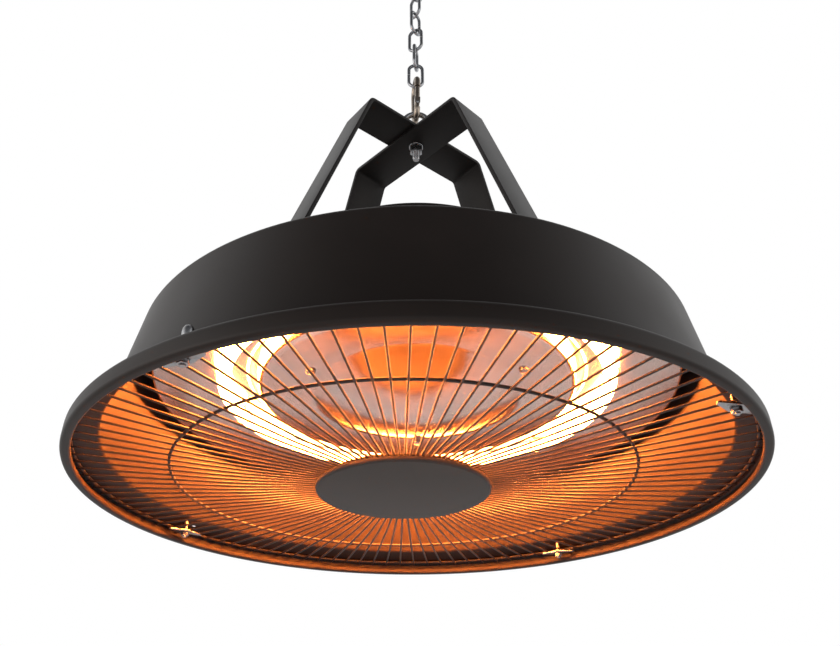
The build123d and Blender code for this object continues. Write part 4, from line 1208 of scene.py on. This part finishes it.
@dataclass
class Burner(Assembly):
    """The reflector with its fixings, and the ring lamp below it."""

    radius: float = 229.6
    edge: float = 85.6
    edge_depth: float = 6.0
    slope: float = 16.0
    step_top: float = 151.0
    step_foot: tuple[float, float] = (140.0, 90.0)
    cone_edge: tuple[float, float] = (94.0, 92.0)
    cone_tip: float = 71.0
    screw_circle: float = 104.0
    screw_azimuths: tuple[float, ...] = (90.0, 210.0, 330.0)
    screw_shank: float = 2.4
    screw_reach: float = 7.0
    spacer_across: float = 8.0
    play: float = 0.2
    lamp_radius: float = 171.0
    lamp_height: float = 93.0
    tube: float = 5.75

    def reflector(self) -> None:
        """Spins the reflector: its slope over the lamp, the step inside it and the shallow cone."""
        wall = self.radius - SHEET / 2
        low = self.edge + SHEET / 2
        top = low + (wall - self.step_top) * math.tan(math.radians(self.slope))
        line = [
            (0.0, self.cone_tip), self.cone_edge, self.step_foot, (self.step_top, top), (wall, low),
            (wall, self.edge + self.edge_depth),
        ]
        bends = {4: 1.5, 3: 6.0, 2: 6.0, 1: 25.0}
        piece = self.bench.lathe("reflector_dish", line, UP * RIM, bends, 160, 8, SHEET)
        self.seat(piece, "heater", "reflector_metal", Finishes.reflector, "reflector", angle=25.0)

    def fixings(self) -> None:
        """Stands the reflector's spacers between it and the deck, and puts their screws in."""
        bench = self.bench
        places = [spot(azimuth, self.screw_circle, RIM) for azimuth in self.screw_azimuths]
        stands = [Matrix.Translation(place * MM) for place in places]
        share = (self.screw_circle - self.cone_edge[0]) / (self.step_foot[0] - self.cone_edge[0])
        middle = self.cone_edge[1] + share * (self.step_foot[1] - self.cone_edge[1])
        foot = middle + SHEET / 2 + self.play
        tall = DECK - SHEET / 2 - foot
        spacer = bench.prism("spacer_post", self.spacer_across / math.sqrt(3.0), tall, 6, foot)
        bench.soften(spacer, 0.4)
        self.fitted(spacer, "reflector_spacers", stands, "reflector_standoffs")
        under = middle - SHEET / 2 - self.play
        shank = self.screw_shank
        top = foot + self.screw_reach
        screw = bench.lathe(
            "pan_screw",
            [(0.0, under - 2.6), (2.6, under - 2.4), (4.2, under - 1.4), (4.5, under), (shank, under),
             (shank, top), (0.0, top)],
            bends={2: 0.8}, steps=36,
        )
        self.fitted(screw, "reflector_pan_screws", stands, "reflector_screws")

    def lamp(self) -> None:
        """Spins the lamp's tube into an open ring."""
        start = LAMP_GAP_MIDDLE + LAMP_GAP / 2
        at = spot(start, self.lamp_radius, RIM + self.lamp_height) * MM
        turned = (math.pi / 2, 0.0, math.radians(start))
        tube = self.bench.section("lamp_glow", self.tube, 20, at, turned)
        bpy.ops.mesh.spin(steps=180, angle=math.radians(LAMP_GAP - 360), center=UP * at.z, axis=UP)
        self.bench.close(tube)
        self.seat(tube, "heater", "quartz", Finishes.lamp, "lamp_tube", "lamp_filament")

    def build(self) -> None:
        """Makes the reflector, its fixings and the lamp."""
        self.reflector()
        self.fixings()
        self.lamp()


@dataclass
class Guard(Assembly):
    """The wire guard with its hub cap."""

    hub: float = -12.0
    spokes: int = 108
    spoke_wire: float = 1.9
    first: float = 1.9
    inner: float = 68.0
    bend: float = 130.0
    ease: float = 4.0
    overhang: float = 1.5
    hub_height: float = 7.0
    rim_height: float = 10.8
    outer_offset: float = -1.8
    outer_radius: float = 273.2
    outer_wire: float = 2.8
    middle_offset: float = -10.9
    middle_radius: float = 192.3
    middle_wire: float = 2.6
    inner_radius: float = 69.0
    inner_wire: float = 2.4
    weld: float = 0.45
    cap_radius: float = 74.1
    cap_face: float = 1.8

    def reach(self, angle: float) -> float:
        """Gives a spoke's length from the hub to the outer ring."""
        offset = self.outer_offset - self.hub
        across = offset * math.sin(math.radians(angle))
        return offset * math.cos(math.radians(angle)) + math.sqrt(self.outer_radius**2 - across**2)

    def spoke(self, angle: float) -> Piece:
        """Extrudes one spoke from the hub out, with its single bend."""
        reach = self.reach(angle)
        rise = (self.rim_height - self.hub_height) / (reach - self.bend)
        tip = reach + self.outer_wire / 2 + self.overhang
        points = [
            (self.inner, self.hub_height),
            (self.bend - self.ease, self.hub_height),
            (self.bend + self.ease, self.hub_height + rise * self.ease),
            (tip, self.hub_height + rise * (tip - self.bend)),
        ]
        corners = [Vector((x, 0.0, z)) * MM for x, z in points]
        turned = (0.0, math.pi / 2, 0.0)
        piece = self.bench.section(f"spoke_{angle:.0f}", self.spoke_wire / 2, 8, corners[0], turned)
        for before, after in zip(corners, corners[1:]):
            bpy.ops.mesh.extrude_region_move(TRANSFORM_OT_translate={"value": after - before})
        self.bench.close(piece)
        return piece

    def ring_height(self, radius: float, wire: float) -> float:
        """Gives the height of a ring that is welded on top of the spokes."""
        rise = (self.rim_height - self.hub_height) / (self.outer_radius - self.bend)
        climb = max(0.0, radius - self.bend) * rise
        return self.hub_height + climb + (self.spoke_wire + wire) / 2 - self.weld

    def wires(self) -> None:
        """Copies the spokes round the hub, each with its own reach, and welds the rings on them."""
        bench = self.bench
        master = self.spoke(self.first)
        tip = max(vertex.co.x for vertex in master.data.vertices)
        pieces = []
        for number in range(self.spokes):
            angle = self.first + number * 360 / self.spokes
            twin = bench.copy(master, f"spoke_wire_{number}", Matrix.Identity(4))
            longer = (self.reach(angle) - self.reach(self.first)) * MM
            for vertex in twin.data.vertices:
                if vertex.co.x > tip - MM:
                    vertex.co.x += longer
            twin.data.transform(upright(angle, Vector((self.hub, 0.0, RIM))))
            pieces.append(twin)
        bpy.data.objects.remove(master)
        rings = (
            (self.inner_radius, self.inner_wire, self.hub),
            (self.middle_radius, self.middle_wire, self.middle_offset),
            (self.outer_radius, self.outer_wire, self.outer_offset),
        )
        for radius, wire, offset in rings:
            middle = Vector((offset, 0.0, RIM + self.ring_height(radius, wire)))
            pieces.append(bench.torus(f"guard_ring_{radius:.0f}", radius, wire, (216, 10), middle))
        guard = bench.join(pieces, "guard_wires")
        self.seat(guard, "heater", "guard_enamel", Finishes.guard, "guard", angle=50.0)

    def cap(self) -> None:
        """Spins the hub cap."""
        face = self.cap_face + SHEET / 2
        wall = self.cap_radius - SHEET / 2
        line = [(0.0, face), (wall, face), (wall, self.hub_height - self.spoke_wire / 2)]
        cap = self.bench.lathe("hub_dish", line, Vector((self.hub, 0.0, RIM)), {1: 2.5}, 128, 6, SHEET)
        self.seat(cap, "heater", "hub_paint", Finishes.hub, "hub_cap", angle=25.0)

    def build(self) -> None:
        """Makes the wires and the hub cap."""
        self.wires()
        self.cap()


@dataclass
class Clips(Assembly):
    """The four swivelling plates that hold the guard, with their screws, washers and nuts."""

    turns: tuple[float, ...] = (16.0, -17.0, 4.0, -27.0)
    length: float = 35.0
    width: float = 13.0
    thick: float = 1.5
    end: float = 2.2
    hole: float = 2.2
    top: float = 8.837
    washer_foot: float = 19.5
    washer_thick: float = 0.8
    screw_radius: float = 1.97
    screw_tail: float = 1.5
    nut_thick: float = 3.2
    nut_play: float = 0.1

    def outline(self, steps: int = 8) -> list[tuple[float, float]]:
        """Gives the lozenge's corners: a round tip, a round waist, and both again on the other side."""
        tips = self.length / 2 - self.end
        waist = self.width / 2
        lean = math.acos((waist - self.end) / tips)
        arcs = ((tips, self.end, -lean, lean), (0.0, waist, lean, math.pi - lean))
        half = []
        for middle, radius, low, high in arcs:
            for number in range(steps + 1):
                angle = low + (high - low) * number / steps
                half.append((middle + radius * math.cos(angle), radius * math.sin(angle)))
        return half + [(-x, -y) for x, y in half]

    def plate(self) -> Piece:
        """Makes one lozenge plate at the origin, with its top at zero and a hole in its middle."""
        bench = self.bench
        outline = self.outline()
        bench.clear()
        bpy.ops.mesh.primitive_circle_add(vertices=len(outline), radius=MM, fill_type="NGON")
        piece = bench.added("clip_master")
        bench.edit(piece)
        cage = bmesh.from_edit_mesh(piece.data)
        ordered = [loop.vert for loop in next(iter(cage.faces)).loops]
        for vertex, (x, y) in zip(ordered, outline):
            vertex.co = Vector((x, y, 0.0)) * MM
        bmesh.update_edit_mesh(piece.data)
        bpy.ops.mesh.select_all(action="SELECT")
        bpy.ops.mesh.extrude_region_move(TRANSFORM_OT_translate={"value": (0.0, 0.0, -self.thick * MM)})
        bpy.ops.mesh.select_all(action="SELECT")
        bpy.ops.mesh.normals_make_consistent(inside=False)
        bpy.ops.object.mode_set(mode="OBJECT")
        bench.work(piece, bench.prism("clip_drill", self.hole, 4.0, 28, -3.0), Trim.CUT)
        bench.soften(piece, 0.3, 2, 40.0)
        return piece

    def build(self) -> None:
        """Makes the plates, screws, washers and nuts."""
        bench = self.bench
        master = self.plate()
        places = [spot(azimuth, CLIP_CIRCLE, RIM) for azimuth in CLIP_AZIMUTHS]
        for number, (place, azimuth, turn) in enumerate(zip(places, CLIP_AZIMUTHS, self.turns), start=1):
            matrix = upright(azimuth + 90 + turn, place + UP * self.top)
            piece = bench.copy(master, f"clip_lozenge_{number}", matrix)
            self.plated(piece, f"clip_{number}", f"clip_plate_{number}")
        bpy.data.objects.remove(master)
        stands = [Matrix.Translation(place * MM) for place in places]
        nut_foot = self.top - self.thick - self.nut_play - self.nut_thick
        tail = nut_foot - self.screw_tail
        base = self.washer_foot
        seat = base + self.washer_thick
        shank = self.screw_radius
        line = [
            (0.0, tail), (1.5, tail), (shank, tail + 0.5), (shank, seat), (3.5, seat),
            (3.7, base + 1.2), (3.7, base + 7.6), (3.4, base + 9.4), (2.5, base + 10.9),
            (1.3, base + 11.7), (0.0, base + 11.9),
        ]
        self.fitted(bench.lathe("clip_screw", line, steps=36), "clip_bolts", stands, "clip_screws")
        line = [(2.05, base), (4.3, base), (4.5, base + 0.2), (4.5, seat - 0.15), (4.3, seat), (2.05, seat)]
        self.fitted(bench.lathe("clip_disc", line, ring=True), "clip_discs", stands, "clip_washers")
        nut = bench.hexagon("clip_hexagon", 7.0, self.nut_thick, 1.98)
        nut.data.transform(Matrix.Translation(UP * nut_foot * MM))
        self.fitted(nut, "clip_hexagons", stands, "clip_nuts")


CARRIED = {
    Finishes.zinc: ("ceiling_plate", "cover_screws", "crown_rivets", "deck_screws"),
    Finishes.shade: ("terminal_cover",),
    Finishes.ceramic: ("terminal_block", "lamp_bushes", "lamp_caps"),
    Finishes.plastic: ("cable_gland", "gland_locknut"),
    Finishes.rubber: ("deck_grommets",),
    Finishes.spring: ("lamp_holders", "lamp_supports"),
    Finishes.sleeve: ("lamp_lead_live", "lamp_lead_neutral"),
}


@dataclass
class Studio:
    """The pale floor, the soft light and the camera."""

    floor_z: float = -2.3
    camera_at: tuple[float, float, float] = (0.0, -0.6226, -0.9400)
    ahead: tuple[float, float, float] = (0.0039, 0.8526, 0.5225)
    above: tuple[float, float, float] = (0.0056, -0.5226, 0.8526)
    lens: float = 32.70
    ambient: float = 0.34
    patch: Colour = (0.12, 0.12, 0.125)
    floor_size: float = 30.0
    floor_glow: float = 0.36
    floor_tones: tuple[Colour, Colour] = ((0.86, 0.86, 0.86), (0.9, 0.9, 0.89))
    lamp_colour: Colour = (1.0, 0.88, 0.8)
    lamp_aim: tuple[float, float, float] = (0.0, 0.0, -0.6)

    def camera(self) -> None:
        """Sets the camera where the photograph was taken from."""
        data = bpy.data.cameras.new("photo_camera")
        data.lens = self.lens
        data.sensor_width = 36.0
        data.clip_start = 0.01
        camera = bpy.data.objects.new("photo_camera", data)
        bpy.context.scene.collection.objects.link(camera)
        back = -Vector(self.ahead).normalized()
        right = Vector(self.above).cross(back).normalized()
        top = back.cross(right)
        turned = Matrix((right, top, back)).transposed().to_4x4()
        camera.matrix_world = Matrix.Translation(self.camera_at) @ turned
        bpy.context.scene.camera = camera

    def world(self) -> None:
        """Makes the surround white to the eye and in mirrors, apart from a dark patch, and a soft light."""
        world = bpy.data.worlds.new("studio")
        bpy.context.scene.world = world
        sheet = NodeSheet(world)
        path = sheet.node("ShaderNodeLightPath")
        camera, through, glossy = (
            Signal(sheet, path.outputs[f"Is {ray} Ray"]) for ray in ("Camera", "Transmission", "Glossy")
        )
        way = sheet.signal("ShaderNodeTexCoord", output="Generated")
        _, y, z = sheet.parts(way)
        dark = (z * 0.83 - y * 0.55).over(0.45, 0.9)
        grey = sheet.blend(dark, WHITE, self.patch)
        soft = sheet.signal("ShaderNodeBackground", inputs=[grey, self.ambient])
        mirrored = sheet.signal("ShaderNodeBackground", inputs=[grey, 1.0])
        white = sheet.signal("ShaderNodeBackground", inputs=[WHITE, 1.0])
        lit = sheet.signal("ShaderNodeMixShader", inputs=[glossy, soft, mirrored])
        shown = sheet.signal("ShaderNodeMixShader", inputs=[camera + through, lit, white])
        sheet.node("ShaderNodeOutputWorld", inputs=[shown])

    def floor(self) -> None:
        """Lays the pale floor far below the heater."""
        bpy.ops.object.select_all(action="DESELECT")
        bpy.ops.mesh.primitive_plane_add(size=self.floor_size, location=(0.0, 0.0, self.floor_z))
        plane = bpy.context.object
        plane.name = "floor"
        material = bpy.data.materials.new("pale_floor")
        sheet = NodeSheet(material)
        tone = sheet.blend(sheet.noise(900.0, 3.0), *self.floor_tones)
        diffuse = sheet.signal("ShaderNodeBsdfDiffuse", inputs={"Color": tone})
        glow = sheet.signal("ShaderNodeEmission", inputs=[WHITE, self.floor_glow])
        both = sheet.signal("ShaderNodeAddShader", inputs=[diffuse, glow])
        sheet.node("ShaderNodeOutputMaterial", inputs=[both])
        plane.data.materials.append(material)

    def lamp(self, name: str, at: tuple[float, float, float], size: float, power: float) -> None:
        """Hangs a soft square lamp that looks at the heater.

        Args:
            name: The lamp's name.
            at: Its place, in metres.
            size: The length of its side.
            power: Its power in watts.
        """
        data = bpy.data.lights.new(name, "AREA")
        data.size = size
        data.energy = power
        data.color = self.lamp_colour
        lamp = bpy.data.objects.new(name, data)
        bpy.context.scene.collection.objects.link(lamp)
        lamp.location = at
        aim = Vector(self.lamp_aim) - Vector(at)
        lamp.rotation_mode = "QUATERNION"
        lamp.rotation_quaternion = aim.to_track_quat("-Z", "Y")
        lamp.visible_camera = False

    def build(self) -> None:
        """Sets up the camera, the world, the floor and the lamps."""
        self.camera()
        self.world()
        self.floor()
        self.lamp("soft_left", (-2.4, -1.2, -0.6), size=1.6, power=16.0)
        self.lamp("soft_right", (2.6, -0.8, -0.4), size=1.4, power=6.0)


def dress_carried(nodes: dict[str, Piece]) -> None:
    """Gives every CAD node that stays its finish.

    Args:
        nodes: The frame's objects by node name.
    """
    for finish, names in CARRIED.items():
        for name in names:
            for slot in nodes[name].material_slots:
                slot.material = finish.material()
            LOG.info("%s: carried over as %s", name, finish.name)


def main() -> None:
    """Loads the frame and builds every sub-assembly over it."""
    logging.basicConfig(level=logging.INFO, format="%(name)s %(message)s")
    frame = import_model()
    dress_carried(frame["nodes"])
    bench = Bench()
    for assembly in (Suspension, Bracket, Shade, Burner, Guard, Clips):
        assembly(bench).build()
    Studio().build()
    bpy.context.scene.view_settings.view_transform = "Standard"


if __name__ == "__main__":
    main()
